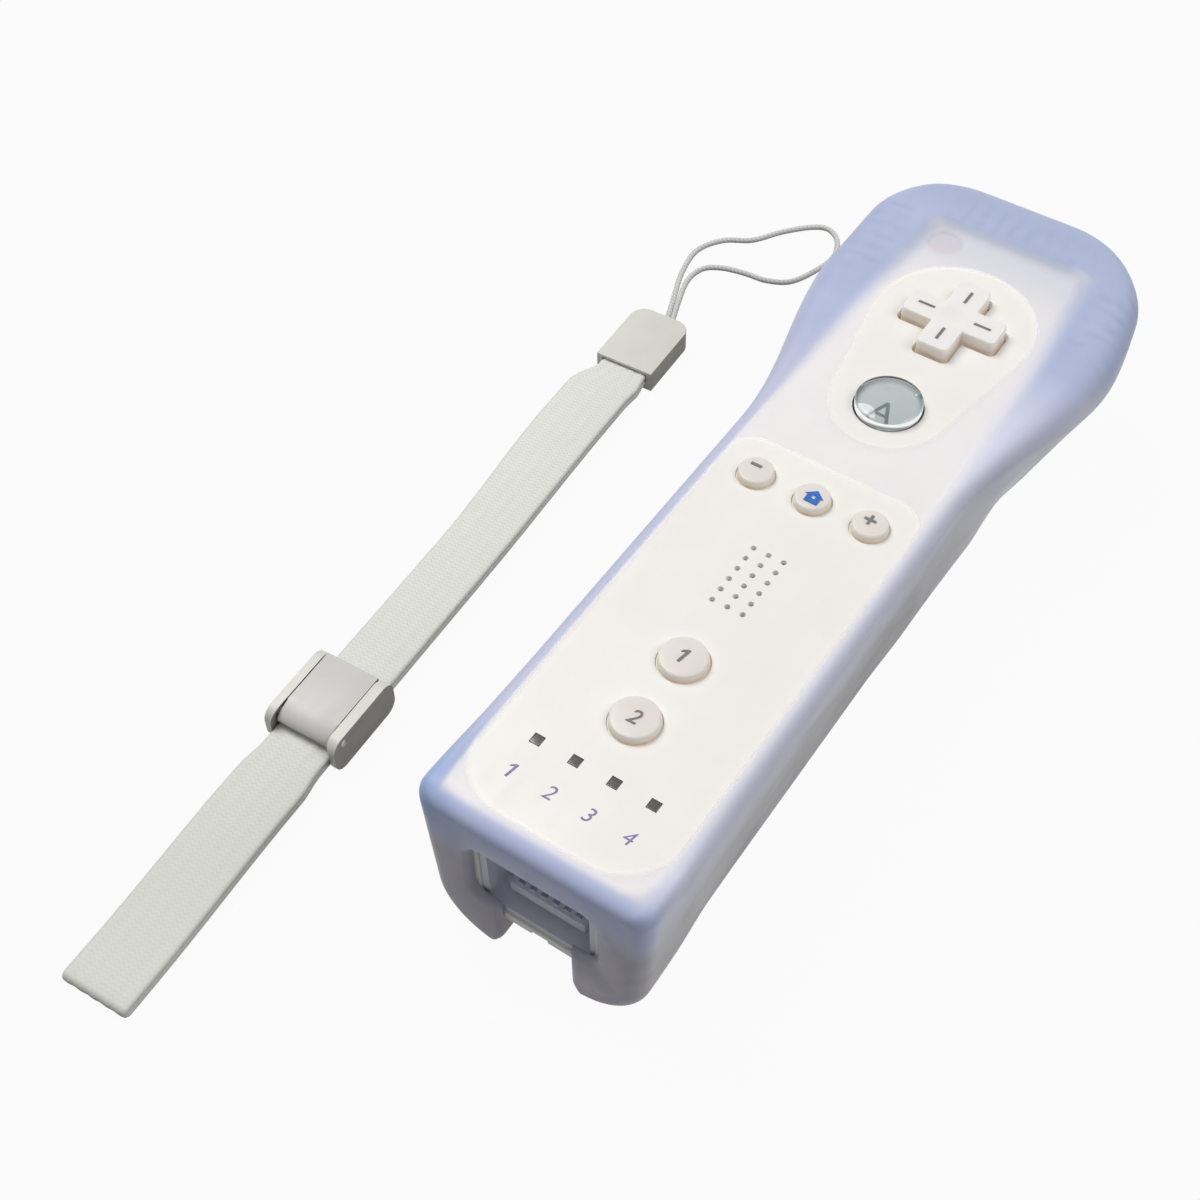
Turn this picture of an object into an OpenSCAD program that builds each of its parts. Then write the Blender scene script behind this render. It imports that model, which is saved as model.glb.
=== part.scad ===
// Handheld motion controller in its silicone jacket, with the wrist strap laid beside it.
// Millimetres. +Y is the camera end, +X the right hand side, +Z comes out of the button face.

/* [Case] */
// width of the bare case
case_w = 36.2; // [35.6:0.1:38]
// length of the bare case
case_l = 148; // [146:0.5:152]
// depth of the case from the button face to the ridge behind the trigger
case_h = 30.8; // [30.4:0.1:32]
// how much shallower the grip is than the ridge
grip_rise = 3; // [2.6:0.1:3.2]
// wall thickness of both case halves
wall = 1.8; // [1.6:0.05:1.9]
// thickness of the face plate
face_t = 2; // [1.8:0.05:2.2]
// corner radius of the case in plan
plan_r = 5; // [4:0.25:6]
// radius of the two lower long edges
keel_r = 8; // [7.5:0.25:8.5]
// how far each side draws in from the parting line to the underside
draft = 2; // [1.8:0.1:2.1]
// depth of the parting line below the face
split_d = 9; // [8.6:0.1:9.4]

/* [Jacket] */
// thickness of the jacket under the ridge
belly_t = 1.4; // [1.2:0.1:2]
// thickness of the jacket beside the waist
side_t = 1.3; // [1.1:0.1:1.8]
// thickness of the jacket behind the case
rear_t = 1.5; // [1.2:0.1:2]
// thickness of the bumper ahead of the case
bumper_t = 12.5; // [11:0.5:14]
// height of the rim over the button face
rim_h = 1.3; // [1:0.1:1.8]
// thickness of the film over the button face
film_t = 0.6; // [0.4:0.05:0.8]
// how much the bumper flares out on each side
flare = 8.3; // [7.8:0.1:8.8]
// how much the rear end swells on each side
swell = 0.35; // [0.2:0.05:0.6]
// pitch of the shock ribs inside the bumper
rib_pitch = 3; // [2.6:0.1:3.4]
// width of the slots between the shock ribs
rib_gap = 1.2; // [1:0.1:1.5]

/* [Face] */
// distance of the power button from the front of the case
power_d = 6.2; // [6:0.1:6.6]
// place of the direction pad, as a share of the case's length from the front
dpad_k = 0.1676; // [0.165:0.0004:0.1724]
// place of the large round button, as a share of the case's length from the front
a_k = 0.3216; // [0.316:0.0004:0.3272]
// place of the row of three small buttons, as a share of the case's length from the front
row_k = 0.4905; // [0.4825:0.0005:0.494]
// place of the speaker grille, as a share of the case's length from the front
grille_k = 0.6203; // [0.616:0.0005:0.6255]
// place of the first numbered button, as a share of the case's length from the front
one_k = 0.7432; // [0.7365:0.0005:0.7465]
// place of the second numbered button, as a share of the case's length from the front
two_k = 0.8297; // [0.8245:0.0005:0.834]
// place of the status lights, as a share of the case's length from the front
led_k = 0.898; // [0.8955:0.0005:0.902]
// spacing of the three small buttons
row_pitch = 10.2; // [9.8:0.1:10.6]
// diameter of the small buttons
small_d = 5.9; // [5.6:0.1:6.2]
// diameter of the numbered buttons
number_d = 7.7; // [7.4:0.1:8]
// diameter of the large round button
a_dia = 11.2; // [10.8:0.1:11.6]
// half length of the direction pad's arms
dpad_arm = 8.7; // [8.4:0.1:9]
// width of the direction pad's arms
dpad_w = 5.7; // [5.4:0.1:6]
// how far the direction pad stands over the face
dpad_h = 2.4; // [2:0.1:2.8]
// how far the buttons stand over the face
button_h = 1.3; // [1:0.1:1.6]
// travel of the buttons
travel = 0.9; // [0.6:0.1:1]
// gap round every button
gap = 0.3; // [0.25:0.01:0.35]
// spacing of the status lights
led_pitch = 6.55; // [6.3:0.05:6.8]
// side of each status light
led_s = 1.7; // [1.5:0.1:2.2]
// spacing of the grille holes across
hole_px = 2.65; // [2.4:0.05:2.9]
// spacing of the grille holes along
hole_py = 2.4; // [2.2:0.05:2.6]
// diameter of the grille holes
hole_d = 0.95; // [0.8:0.05:1.2]

/* [Trigger] */
// width of the trigger
trig_w = 22; // [20.5:0.25:22.5]
// radius of the trigger's pin
trig_pin_r = 1; // [0.9:0.05:1.1]
// clearance of the running fits on both pins
fit = 0.05; // [0.03:0.01:0.08]

/* [Power] */
// diameter of one dry cell
cell_d = 14.4; // [14:0.05:14.5]
// length of one dry cell without its tip
cell_l = 49.5; // [48.5:0.25:49.75]
// diameter of the rumble motor
motor_d = 8; // [7:0.25:8.25]

/* [Strap] */
// width of the webbing between the clip and the slider
web_w = 11.2; // [10.8:0.1:11.3]
// width of the webbing at its far end
web_far_w = 12.4; // [11.8:0.1:13]
// thickness of one layer of webbing
web_t = 1; // [0.8:0.05:1.05]
// length of the doubled webbing behind the clip
web_l = 151; // [148:1:155]
// diameter of the cord
cord_d = 1.1; // [0.9:0.05:1.15]
// length of the clip
clip_l = 15.6; // [14.8:0.1:16]
// width of the clip
clip_w = 12; // [11.8:0.1:12.4]
// thickness of the clip
clip_t = 4.4; // [4.2:0.1:4.8]
// distance from the clip's rear edge to the middle of the slider
slider_d = 92.6; // [90:0.2:94]
// width of the slider over its cheeks
slider_w = 14; // [13.9:0.1:14.6]
// length of the slider
slider_l = 16; // [15.5:0.1:17]
// height of the slider
slider_h = 7.2; // [7:0.1:7.6]
// radius of the slider's pin
slider_pin_r = 0.7; // [0.6:0.05:0.75]

/* [Hidden] */
$fn = 48;

case_z = belly_t;
face_z = case_z + case_h;
grip_z = case_z + grip_rise;
split_z = face_z - split_d;
under_z = face_z - face_t;
jacket_l = rear_t + case_l + bumper_t;
rear_y = -jacket_l / 2;
front_y = jacket_l / 2;
case_y0 = rear_y + rear_t;
case_y1 = case_y0 + case_l;
case_my = (case_y0 + case_y1) / 2;
half_w = case_w / 2;
slip = 0.05;

ridge_y0 = case_y0 + 81.5;
ridge_y1 = ridge_y0 + 8;
nose_y = ridge_y1 + 32;
nose_z = case_z + 9.1;

power_x = -11;
power_dia = 5.6;
power_y = case_y1 - power_d;
dpad_y = case_y1 - dpad_k * case_l;
a_y = case_y1 - a_k * case_l;
row_y = case_y1 - row_k * case_l;
grille_y = case_y1 - grille_k * case_l;
one_y = case_y1 - one_k * case_l;
two_y = case_y1 - two_k * case_l;
led_y = case_y1 - led_k * case_l;
post_y = (row_y + a_y) / 2;

flange_t = 1;
flange_z = under_z - slip - flange_t;
board_t = 1.2;
board_z1 = under_z - 5.4;
board_z0 = board_z1 - board_t;

screw_x = half_w - 4.5;
screw_front_y = case_y1 - 13;
screw_rear_y = case_y0 + 9.5;
screw_r = 1.1;

port_w = 20;
port_z0 = face_z - 23.2;
port_z1 = face_z - 8.2;

bay_y0 = case_y0 + 13.5;
bay_y1 = case_y0 + 71.5;
cover_w = 26.4;
cell_z = grip_z + wall + 0.3 + cell_d / 2;
cell_x = cell_d / 2 + 0.3;
cell_y1 = bay_y1 - 2.5;
cell_y0 = cell_y1 - cell_l;
bay_z = cell_z + cell_d / 2 + 0.3;
sync_z = grip_z + 4.1;

trig_y = ridge_y1 + 28;
trig_z = case_z + 16.1;
trig_y0 = ridge_y1 + 1.2;
trig_slot = trig_w + 0.8;
cam_y0 = trig_y + 0.426 * (case_y1 - trig_y);
cam_l = case_y1 - 4 - cam_y0;

window_w = 24;
window_z0 = nose_z + 6.4;
window_z1 = face_z - 6;

// eased step from 0 to 1
function ease(t) = let (u = min(1, max(0, t))) u * u * (3 - 2 * u);
// quarter of a rounded end, 0 away from the end and 1 on it
function lip(t) = 1 - sqrt(max(0, 1 - pow(min(1, max(0, t)), 2)));

turn_l = 17.3;
tuck = 2.9;

function fl(y) = ease((y - ridge_y0 - 4) / 45.2);
function sw(y) = ease((case_y0 + 30 - y) / 30);
function front_t(y) = 1 - (front_y - y) / turn_l;
function pinch(y) = 1 - 0.098 * ease(1 - (front_y - y) / 37.6);
function plan_k(y) = pinch(y) * pow(1 - pow(min(0.985, max(0, front_t(y))), 2.07), 1 / 2.07);
function rear_in(y) = tuck * lip(1 - (y - rear_y) / tuck);
// the soft bumper lies a little to the left
function lay(y) = -2.1 * ease(1 - (front_y - y) / 31);

// half widths, heights and edge radii of the jacket along its length
function top_w(y) = (half_w + side_t + flare * fl(y) + swell * sw(y)) * plan_k(y) - rear_in(y);
function low_w(y) = (half_w - draft + side_t + 0.3 + 3.57 * fl(y) + (swell + 0.35) * sw(y)) * plan_k(y)
  - rear_in(y);
function arch(y) = 1.2 * ease((y - case_y0 - 8) / 10) * ease((ridge_y0 - 2 - y) / 14);
function nose(y) = (nose_z - 2.5 * belly_t) * ease((y - ridge_y1 + 3) / 34);
function low_z(y) = arch(y) + nose(y) + 1.1 * lip(1 - (y - rear_y) / 4.4) + 7 * lip(1 - (front_y - y) / 8);
function rise(y) = ease((y - case_y1 + 28) / 24);
function brow(y) = 7.3 * lip(1 - (front_y - y) / 8.6);
function top_z(y) = face_z + rim_h + rise(y) - brow(y) - 3 * lip(1 - (y - rear_y) / 3.5);
function top_r(y) = min(2.2 + 3.2 * fl(y), 0.45 * top_w(y));
function low_r(y) = min(9.2 + 2.3 * sw(y) - 2.3 * fl(y), 0.45 * low_w(y) + 2);

steps_y = concat(
  [for (a = [0:15:75]) rear_y + 4.5 * (1 - cos(a))],
  [for (i = [0:9]) rear_y + 6 + i * (ridge_y0 - rear_y - 6) / 9.5],
  [for (i = [0:10]) ridge_y0 + i * (front_y - turn_l - ridge_y0) / 10.5],
  [for (a = [90:-11.25:11.25]) front_y - turn_l * (1 - sin(90 - a))],
  [front_y]
);

function arc2(c, r, a0, a1, n) = [for (i = [0:n]) let (a = a0 + (a1 - a0) * i / n) c + r * [cos(a), sin(a)]];
function mirrored(p) = concat(p, [for (i = [len(p) - 1:-1:0]) [-p[i][0], p[i][1]]]);

// lower section of the case: drafted sides and rounded keel edges, grown by g
function keel_pts(g) = let (r = keel_r + g, w = half_w - draft + g, z = case_z - g) mirrored(concat(
  arc2([w - r, z + r], r, -90, -8, 8),
  [[half_w + g, split_z], [half_w + g, face_z + 4]]
));

// underside of the case from the rear to the nose, grown by g
function side_pts(g) = [
  [case_y0 - g, face_z + 4], [case_y0 - g, grip_z + 3], [case_y0 + 3, grip_z - g],
  [ridge_y0 - 10, grip_z - g], [ridge_y0, case_z - g], [ridge_y1, case_z - g],
  [nose_y, nose_z - g], [case_y1 - 6, nose_z - g],
  [case_y1 + g, nose_z + 6], [case_y1 + g, face_z + 4]
];

module round_plan(w, l, r) {
  square([w - 2 * r, l], center = true);
  square([w, l - 2 * r], center = true);
  for (x = [-1, 1], y = [-1, 1]) {
    translate([x * (w / 2 - r), y * (l / 2 - r)]) circle(r);
  }
}

module case_plan(g, z0, z1) {
  translate([0, case_my, z0]) linear_extrude(z1 - z0) round_plan(case_w + 2 * g, case_l + 2 * g, plan_r + g);
}

module case_block(g, z1) {
  intersection() {
    case_plan(g, -1, z1);
    translate([0, case_y1 + 5, 0]) rotate([90, 0, 0]) linear_extrude(case_l + 10) polygon(keel_pts(g));
    translate([-half_w - 5, 0, 0]) rotate([90, 0, 90]) linear_extrude(case_w + 10) polygon(side_pts(g));
  }
}

module cross_plan(arm, w, r) {
  round_plan(2 * arm, w, r);
  round_plan(w, 2 * arm, r);
}

module box(x0, x1, y0, y1, z0, z1) {
  translate([x0, y0, z0]) cube([x1 - x0, y1 - y0, z1 - z0]);
}

module rod(x, y, z0, z1, r) {
  translate([x, y, z0]) cylinder(h = z1 - z0, r = r);
}

module rod_x(x0, x1, y, z, r) {
  translate([x0, y, z]) rotate([0, 90, 0]) cylinder(h = x1 - x0, r = r);
}

module rod_y(x, y0, y1, z, r) {
  translate([x, y1, z]) rotate([90, 0, 0]) cylinder(h = y1 - y0, r = r);
}

function unit(v) = v / norm(v);
function heading(p, i) = unit(p[min(i + 1, len(p) - 1)] - p[max(i - 1, 0)]);
function hoop(c, t, up, r, n) = let (s = unit(cross(t, up)), u = cross(s, t))
  [for (k = [0:n - 1]) c + r * cos(360 * k / n) * s + r * sin(360 * k / n) * u];

// tube of radius r swept along the points p, with its rings turned about the direction up
module tube(p, r, n, up) {
  last = len(p) - 1;
  pts = [for (i = [0:last]) each hoop(p[i], heading(p, i), up, r, n)];
  sides = [for (i = [0:last - 1], k = [0:n - 1]) each [
    [i * n + k, (i + 1) * n + k, i * n + (k + 1) % n],
    [i * n + (k + 1) % n, (i + 1) * n + k, (i + 1) * n + (k + 1) % n]
  ]];
  near = [[for (k = [0:n - 1]) k]];
  far = [[for (k = [n - 1:-1:0]) last * n + k]];
  polyhedron(concat(pts), concat(sides, near, far));
}

function mix4(a, b, c, d, t) = 0.5 * (2 * b + (c - a) * t + (2 * a - 5 * b + 4 * c - d) * t * t
  + (3 * b - a - 3 * c + d) * t * t * t);
function flow(p, n) = concat([for (i = [0:len(p) - 2], k = [0:n - 1])
  mix4(p[max(0, i - 1)], p[i], p[i + 1], p[min(len(p) - 1, i + 2)], k / n)], [p[len(p) - 1]]);

// jacket: one lofted skin, hollowed by the case, with its windows, slots and openings cut through
function slice_pts(y) = let (
  ct = [top_w(y) - top_r(y), top_z(y) - top_r(y)],
  cb = [low_w(y) - low_r(y), low_z(y) + low_r(y)],
  d = ct - cb,
  lean = atan2(d[1], d[0]) - acos((low_r(y) - top_r(y)) / norm(d))
) mirrored(concat(arc2(cb, low_r(y), -90, lean, 12), arc2(ct, top_r(y), lean, 90, 9)));

module jacket_skin() {
  n = len(slice_pts(0));
  last = len(steps_y) - 1;
  pts = [for (y = steps_y) each [for (q = slice_pts(y)) [q[0] + lay(y), y, q[1]]]];
  sides = [for (i = [0:last - 1], k = [0:n - 1]) each [
    [i * n + k, i * n + (k + 1) % n, (i + 1) * n + (k + 1) % n],
    [i * n + k, (i + 1) * n + (k + 1) % n, (i + 1) * n + k]
  ]];
  near = [[for (k = [n - 1:-1:0]) k]];
  far = [[for (k = [0:n - 1]) last * n + k]];
  polyhedron(pts, concat(sides, near, far));
}

module slot(p, q, z0, z1) {
  hull() {
    translate([p[0], p[1], z0]) cylinder(h = z1 - z0, d = rib_gap, $fn = 12);
    translate([q[0], q[1], z0]) cylinder(h = z1 - z0, d = rib_gap, $fn = 12);
  }
}

function rim_w(y) = half_w - 0.4 - 1.3 * ease((y - nose_y + 10) / 30) - 0.7 * ease((case_y0 + 14 - y) / 14);
module rim_plan() {
  ys = [for (i = [0:16]) case_y0 + 5 + i * (case_l - 10) / 16];
  intersection() {
    polygon(concat(
      [[-half_w, case_y0], [half_w, case_y0]],
      [for (y = ys) [rim_w(y), y]],
      [[half_w, case_y1], [-half_w, case_y1]],
      [for (i = [len(ys) - 1:-1:0]) [-rim_w(ys[i]), ys[i]]]
    ));
    translate([0, case_my]) round_plan(2 * rim_w(case_y1), case_l - 2.4, 4);
  }
  polygon(concat(
    [for (y = ys) [rim_w(y), y]],
    [for (i = [len(ys) - 1:-1:0]) [-rim_w(ys[i]), ys[i]]]
  ));
}

module jacket_windows() {
  hull() {
    translate([0, dpad_y + 0.4, face_z - 0.5]) cylinder(h = 4, r = dpad_arm + 4.6);
    translate([0, a_y, face_z - 0.5]) cylinder(h = 4, r = a_dia / 2 + 3.9);
  }
  hull() {
    for (x = [-1, 1]) {
      translate([x * (half_w - 6.2), row_y + 1.6, face_z - 0.5]) cylinder(h = 4, r = 4.8);
      translate([x * (half_w - 11.2), case_y0 + 12.5, face_z - 0.5]) cylinder(h = 4, r = 10);
    }
  }
}

module shock_slots() {
  for (i = [-4:4]) {
    slot([i * rib_pitch, case_y1 - 1], [i * rib_pitch, case_y1 + 7], window_z1 + 2.6, face_z - 1.2);
  }
  for (s = [-1, 1], i = [0:5]) {
    y = case_y1 - 4 - i * rib_pitch;
    slot([s * (half_w - 1), y], [s * (top_w(y) - 4.4), y], split_z - 1, face_z - 1.2);
  }
}

module jacket() {
  color([0.7, 0.75, 0.88, 0.6]) difference() {
    jacket_skin();
    case_block(slip, face_z);
    translate([0, 0, face_z + film_t]) linear_extrude(6) rim_plan();
    jacket_windows();
    shock_slots();
    // view hole for the camera
    hull() {
      for (x = [-1, 1], z = [window_z0 + 3.4, window_z1 - 2.4]) {
        translate([x * (window_w / 2 - 3), front_y + 1, z]) rotate([90, 0, 0])
          cylinder(h = bumper_t + 3, r = 2.4, $fn = 24);
      }
    }
    // opening for the trigger
    hull() {
      for (x = [-1, 1], y = [ridge_y1 + 2.6, nose_y + 2]) {
        translate([x * (trig_slot / 2 - 2.2), y, -1]) cylinder(h = nose_z + 4, r = 3.4, $fn = 24);
      }
    }
    // slot for the port, and the notch between the two feet
    hull() {
      for (x = [-1, 1], z = [port_z0 + 5.5, port_z1 - 1.6]) {
        translate([x * (port_w / 2 - 1.6), rear_y + 5, z]) rotate([90, 0, 0])
          cylinder(h = 7, r = 2.4, $fn = 24);
      }
    }
    box(-6.2, 6.2, rear_y - 1, case_y0 + 7, -1, port_z0 + 6);
  }
}

// upper half of the case with the face plate
module boss_pair(y, z0, z1, r) {
  rod(screw_x, y, z0, z1, r);
  rod(-screw_x, y, z0, z1, r);
}

module button_hole(x, y, d) {
  rod(x, y, under_z - 1, face_z + 1, d / 2 + gap);
}

module grille_holes() {
  for (i = [-1:1], j = [-2.5:2.5]) {
    rod(i * hole_px, grille_y + j * hole_py, under_z - 1, face_z + 1, hole_d / 2);
  }
}

module led_cuts(s, z0, z1) {
  for (i = [-1.5:1.5]) {
    box(i * led_pitch - s / 2, i * led_pitch + s / 2, led_y - s / 2, led_y + s / 2, z0, z1);
  }
}

module end_cuts(g) {
  box(-port_w / 2 - g, port_w / 2 + g, case_y0 - 1, case_y0 + wall + 1, port_z0 - g, port_z1 + g);
  box(-window_w / 2 - g, window_w / 2 + g, case_y1 - wall - 1, case_y1 + 1, window_z0 - g, window_z1 + g);
}

module upper_case() {
  color([0.94, 0.92, 0.89]) difference() {
    union() {
      difference() {
        case_plan(0, split_z, face_z);
        case_plan(-wall, split_z - 1, under_z);
      }
      boss_pair(screw_front_y, split_z, under_z + 0.5, 2.3);
      boss_pair(screw_rear_y, split_z, under_z + 0.5, 2.3);
    }
    boss_pair(screw_front_y, split_z - 1, split_z + 5.6, screw_r + slip);
    boss_pair(screw_rear_y, split_z - 1, split_z + 5.6, screw_r + slip);
    button_hole(-row_pitch, row_y, small_d);
    button_hole(0, row_y, small_d);
    button_hole(row_pitch, row_y, small_d);
    button_hole(0, one_y, number_d);
    button_hole(0, two_y, number_d);
    button_hole(0, a_y, a_dia);
    button_hole(power_x, power_y, power_dia);
    translate([0, dpad_y, under_z - 1]) linear_extrude(face_t + 2)
      cross_plan(dpad_arm + 0.55, dpad_w + 1.1, 1.2);
    grille_holes();
    led_cuts(led_s + 2 * slip, under_z - 1, face_z + 1);
    end_cuts(slip);
  }
}

// lower half of the case: grip, battery bay, trigger mouth, lugs and screw posts
module lower_case() {
  color([0.9, 0.88, 0.84]) difference() {
    union() {
      difference() {
        case_block(0, split_z);
        case_block(-wall, split_z + 1);
      }
      // battery bay: ceiling, end walls and side ledges
      intersection() {
        case_block(-wall / 2, face_z);
        union() {
          box(-half_w, half_w, bay_y0 - 1.2, bay_y1 + 1.2, bay_z, bay_z + 1);
          box(-half_w, half_w, bay_y0 - 1.2, bay_y0, grip_z, bay_z + 1);
          box(-half_w, half_w, bay_y1, bay_y1 + 1.2, grip_z, bay_z + 1);
        }
      }
      for (x = [-1, 1], y = [bay_y0 + 4, bay_y1 - 6]) {
        rod(x * 11.5, y, bay_z, board_z0, 1.6);
      }
      // posts for the board's screws
      for (x = [-1, 1]) {
        rod(x * (half_w - 4.4), post_y, case_z + 3, board_z0, 1.7);
      }
      // screw posts of the case
      intersection() {
        case_block(-0.4, split_z);
        union() {
          boss_pair(screw_front_y, 0, split_z, 3.2);
          boss_pair(screw_rear_y, 0, split_z, 3.2);
        }
      }
      // lugs that carry the trigger's pin
      for (x = [-1, 1]) {
        box(x * 13.2 - 1.4, x * 13.2 + 1.4, trig_y - 2.6, trig_y + 2.6, nose_z - 0.5, trig_z + 2.6);
      }
    }
    boss_pair(screw_front_y, -1, nose_z + 3, 2.3);
    boss_pair(screw_rear_y, -1, grip_z + 5, 2.3);
    boss_pair(screw_front_y, -1, split_z + 1, screw_r + slip);
    boss_pair(screw_rear_y, -1, split_z + 1, screw_r + slip);
    for (x = [-1, 1]) {
      rod(x * (half_w - 4.4), post_y, board_z0 - 6, board_z0 + 1, 0.8);
    }
    rod_x(-15, 15, trig_y, trig_z, trig_pin_r + 0.01);
    // mouth of the battery bay, mouth of the trigger
    box(-cover_w / 2 - slip, cover_w / 2 + slip, bay_y0 + 1, bay_y1 - 1, grip_z - 1, grip_z + wall + 0.5);
    box(-trig_slot / 2, trig_slot / 2, ridge_y1 - 1.2, nose_y - 0.6, -1, nose_z + wall + 1);
    rod_y(0, bay_y1 - 1, bay_y1 + 3, sync_z, 1.5 + gap);
    // eyelet for the strap's cord: a hole in the floor and one in the rear wall
    rod(0, case_y0 + 4.6, grip_z - 1, grip_z + wall + 1, 1.5);
    box(-1.5, 1.5, case_y0 - 1, case_y0 + wall + 1, grip_z + wall + 0.1, port_z0 - 1);
    end_cuts(slip);
  }
}

module battery_cover() {
  color([0.9, 0.88, 0.84]) {
    difference() {
      union() {
        box(-cover_w / 2, cover_w / 2, bay_y0 + 1 + slip, bay_y1 - 1 - slip, grip_z, grip_z + wall);
        for (x = [-5, 5]) {
          box(x - 2, x + 2, bay_y1 - 2.4, bay_y1 - 1.1, grip_z + wall - 0.4, grip_z + wall + 0.8);
          box(x - 2, x + 2, bay_y1 - 1.3, bay_y1 - 0.1, grip_z + wall + slip, grip_z + wall + 0.8);
        }
      }
      for (i = [0:4]) {
        box(-7, 7, bay_y1 - 8 - i * 1.6, bay_y1 - 7.2 - i * 1.6, grip_z - 1, grip_z + 0.5);
      }
    }
  }
}

module ir_window() {
  color([0.12, 0.08, 0.12]) {
    inner_y = case_y1 - wall;
    box(-window_w / 2, window_w / 2, inner_y, case_y1, window_z0, window_z1);
    wide = window_w / 2 + 1.2;
    narrow = window_w / 2 - 1;
    box(-wide, wide, inner_y - 1 - slip, inner_y - slip, window_z0 - 0.3, window_z1 + 1);
    box(-narrow, narrow, inner_y - 0.5, inner_y + 0.5, window_z0 + 1, window_z1 - 1);
  }
}

// expansion port: a dark socket with its mouth in the rear wall and a contact tongue inside
port_d = 10.5;
tongue_z = port_z0 + 3;
module port_housing() {
  color([0.25, 0.27, 0.32]) {
    difference() {
      box(-port_w / 2, port_w / 2, case_y0 + 0.4, case_y0 + port_d + 1.4, port_z0, port_z1);
      box(-port_w / 2 + 1.2, port_w / 2 - 1.2, case_y0 - 1, case_y0 + port_d, port_z0 + 1.2, port_z1 - 1.2);
    }
    box(-6.5, 6.5, case_y0 + 2.4, case_y0 + port_d + 0.5, tongue_z, tongue_z + 2);
  }
}

module port_contacts() {
  color([0.85, 0.7, 0.35]) {
    for (i = [-2.5:2.5]) {
      box(i * 2 - 0.5, i * 2 + 0.5, case_y0 + 3, case_y0 + port_d - slip, tongue_z + 2, tongue_z + 2.3);
    }
  }
}

// direction pad: a cross on a retaining disc, rocking on a ball
pivot_z = board_z1 + 1.7;
module dpad() {
  color([0.95, 0.94, 0.92]) difference() {
    union() {
      translate([0, dpad_y, flange_z - 0.3]) linear_extrude(face_z + dpad_h - flange_z + 0.3)
        cross_plan(dpad_arm, dpad_w, 1);
      rod(0, dpad_y, flange_z - 1.1, flange_z - 0.1, dpad_arm + 1.6);
      rod(0, dpad_y, pivot_z, flange_z - 0.5, 2.6);
    }
    translate([0, dpad_y, pivot_z]) sphere(1.5 + slip);
    // dished middle
    translate([0, dpad_y, face_z + dpad_h + 13.65]) sphere(14);
  }
}

module dpad_pivot() {
  color([0.7, 0.7, 0.72]) {
    translate([0, dpad_y, pivot_z]) sphere(1.5);
  }
}

// push buttons: a cap with an eased edge over a retaining flange
module cap(d, h) {
  r = d / 2;
  e = min(0.5, max(0.2, h / 2));
  rotate_extrude() polygon(concat(
    [[0, flange_z], [r + 1, flange_z], [r + 1, flange_z + flange_t], [r, flange_z + flange_t]],
    arc2([r - e, face_z + h - e], e, 0, 90, 4),
    [[0, face_z + h + 0.1]]
  ));
}

module push_button(x, y, d, h) {
  translate([x, y, 0]) cap(d, h);
}

module minus_button() {
  color([0.95, 0.93, 0.9]) push_button(-row_pitch, row_y, small_d, button_h);
}

module home_button() {
  color([0.95, 0.93, 0.9]) push_button(0, row_y, small_d, button_h);
}

module plus_button() {
  color([0.95, 0.93, 0.9]) push_button(row_pitch, row_y, small_d, button_h);
}

module one_button() {
  color([0.95, 0.93, 0.9]) push_button(0, one_y, number_d, button_h);
}

module two_button() {
  color([0.95, 0.93, 0.9]) push_button(0, two_y, number_d, button_h);
}

module power_button() {
  color([0.9, 0.75, 0.73]) push_button(power_x, power_y, power_dia, -0.45);
}

// large round button: a clear hollow dome with a grey plate under it
a_r = a_dia / 2;
a_wall = 1.5;
dome_h = 0.9;
dome_r = (a_r * a_r + dome_h * dome_h) / (2 * dome_h);
dome_a = asin((a_r - 0.2) / dome_r);
plate_z = face_z - 1.2;
module a_button_cap() {
  color([0.75, 0.82, 0.82, 0.5]) translate([0, a_y, 0]) rotate_extrude() polygon(concat(
    [[a_r - 1.2, flange_z], [a_r + 1, flange_z], [a_r + 1, flange_z + flange_t], [a_r, flange_z + flange_t]],
    [[a_r, face_z + a_wall - 0.15]],
    arc2([0, face_z + a_wall + dome_h - dome_r], dome_r, 90 - dome_a, 90, 10),
    [[0, plate_z], [a_r - 1.2, plate_z]]
  ));
}

module a_button_base() {
  color([0.72, 0.77, 0.77]) translate([0, a_y, 0]) {
    translate([0, 0, flange_z]) cylinder(h = plate_z - flange_z, r = a_r - 1.2);
  }
}

module status_lights() {
  color([0.3, 0.27, 0.27]) {
    led_cuts(led_s, under_z, face_z);
    led_cuts(led_s - 0.6, board_z1, under_z + 0.5);
  }
}

// trigger: a hollowed wedge that hangs on its pin and swings up into the mouth
module trigger_side() {
  polygon(concat(
    [[trig_y0, case_z + 0.9], [trig_y0 + 6, case_z + 1.1], [trig_y - 8, nose_z - 2.4]],
    [[trig_y - 2, nose_z + 1], [trig_y + 2.2, trig_z - 1.2]],
    arc2([trig_y, trig_z], 2.5, 0, 90, 5),
    [[trig_y - 5, trig_z - 0.5], [trig_y0 + 9, case_z + 8], [trig_y0, case_z + 5.4]]
  ));
}

module b_trigger() {
  color([0.93, 0.91, 0.88]) difference() {
    translate([-trig_w / 2, 0, 0]) rotate([90, 0, 90]) linear_extrude(trig_w) trigger_side();
    rod_x(-trig_w, trig_w, trig_y, trig_z, trig_pin_r + fit);
    // well for the torsion spring
    box(-4.4, 4.4, trig_y - 3.4, trig_y + 4, trig_z - 3.4, trig_z + 4);
    box(-trig_w / 2 + 1.8, trig_w / 2 - 1.8, trig_y0 + 2.4, trig_y - 16, case_z + 4.4, trig_z + 4);
  }
}

module trigger_pin() {
  color([0.75, 0.75, 0.78]) rod_x(-14.4, 14.4, trig_y, trig_z, trig_pin_r);
}

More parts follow.
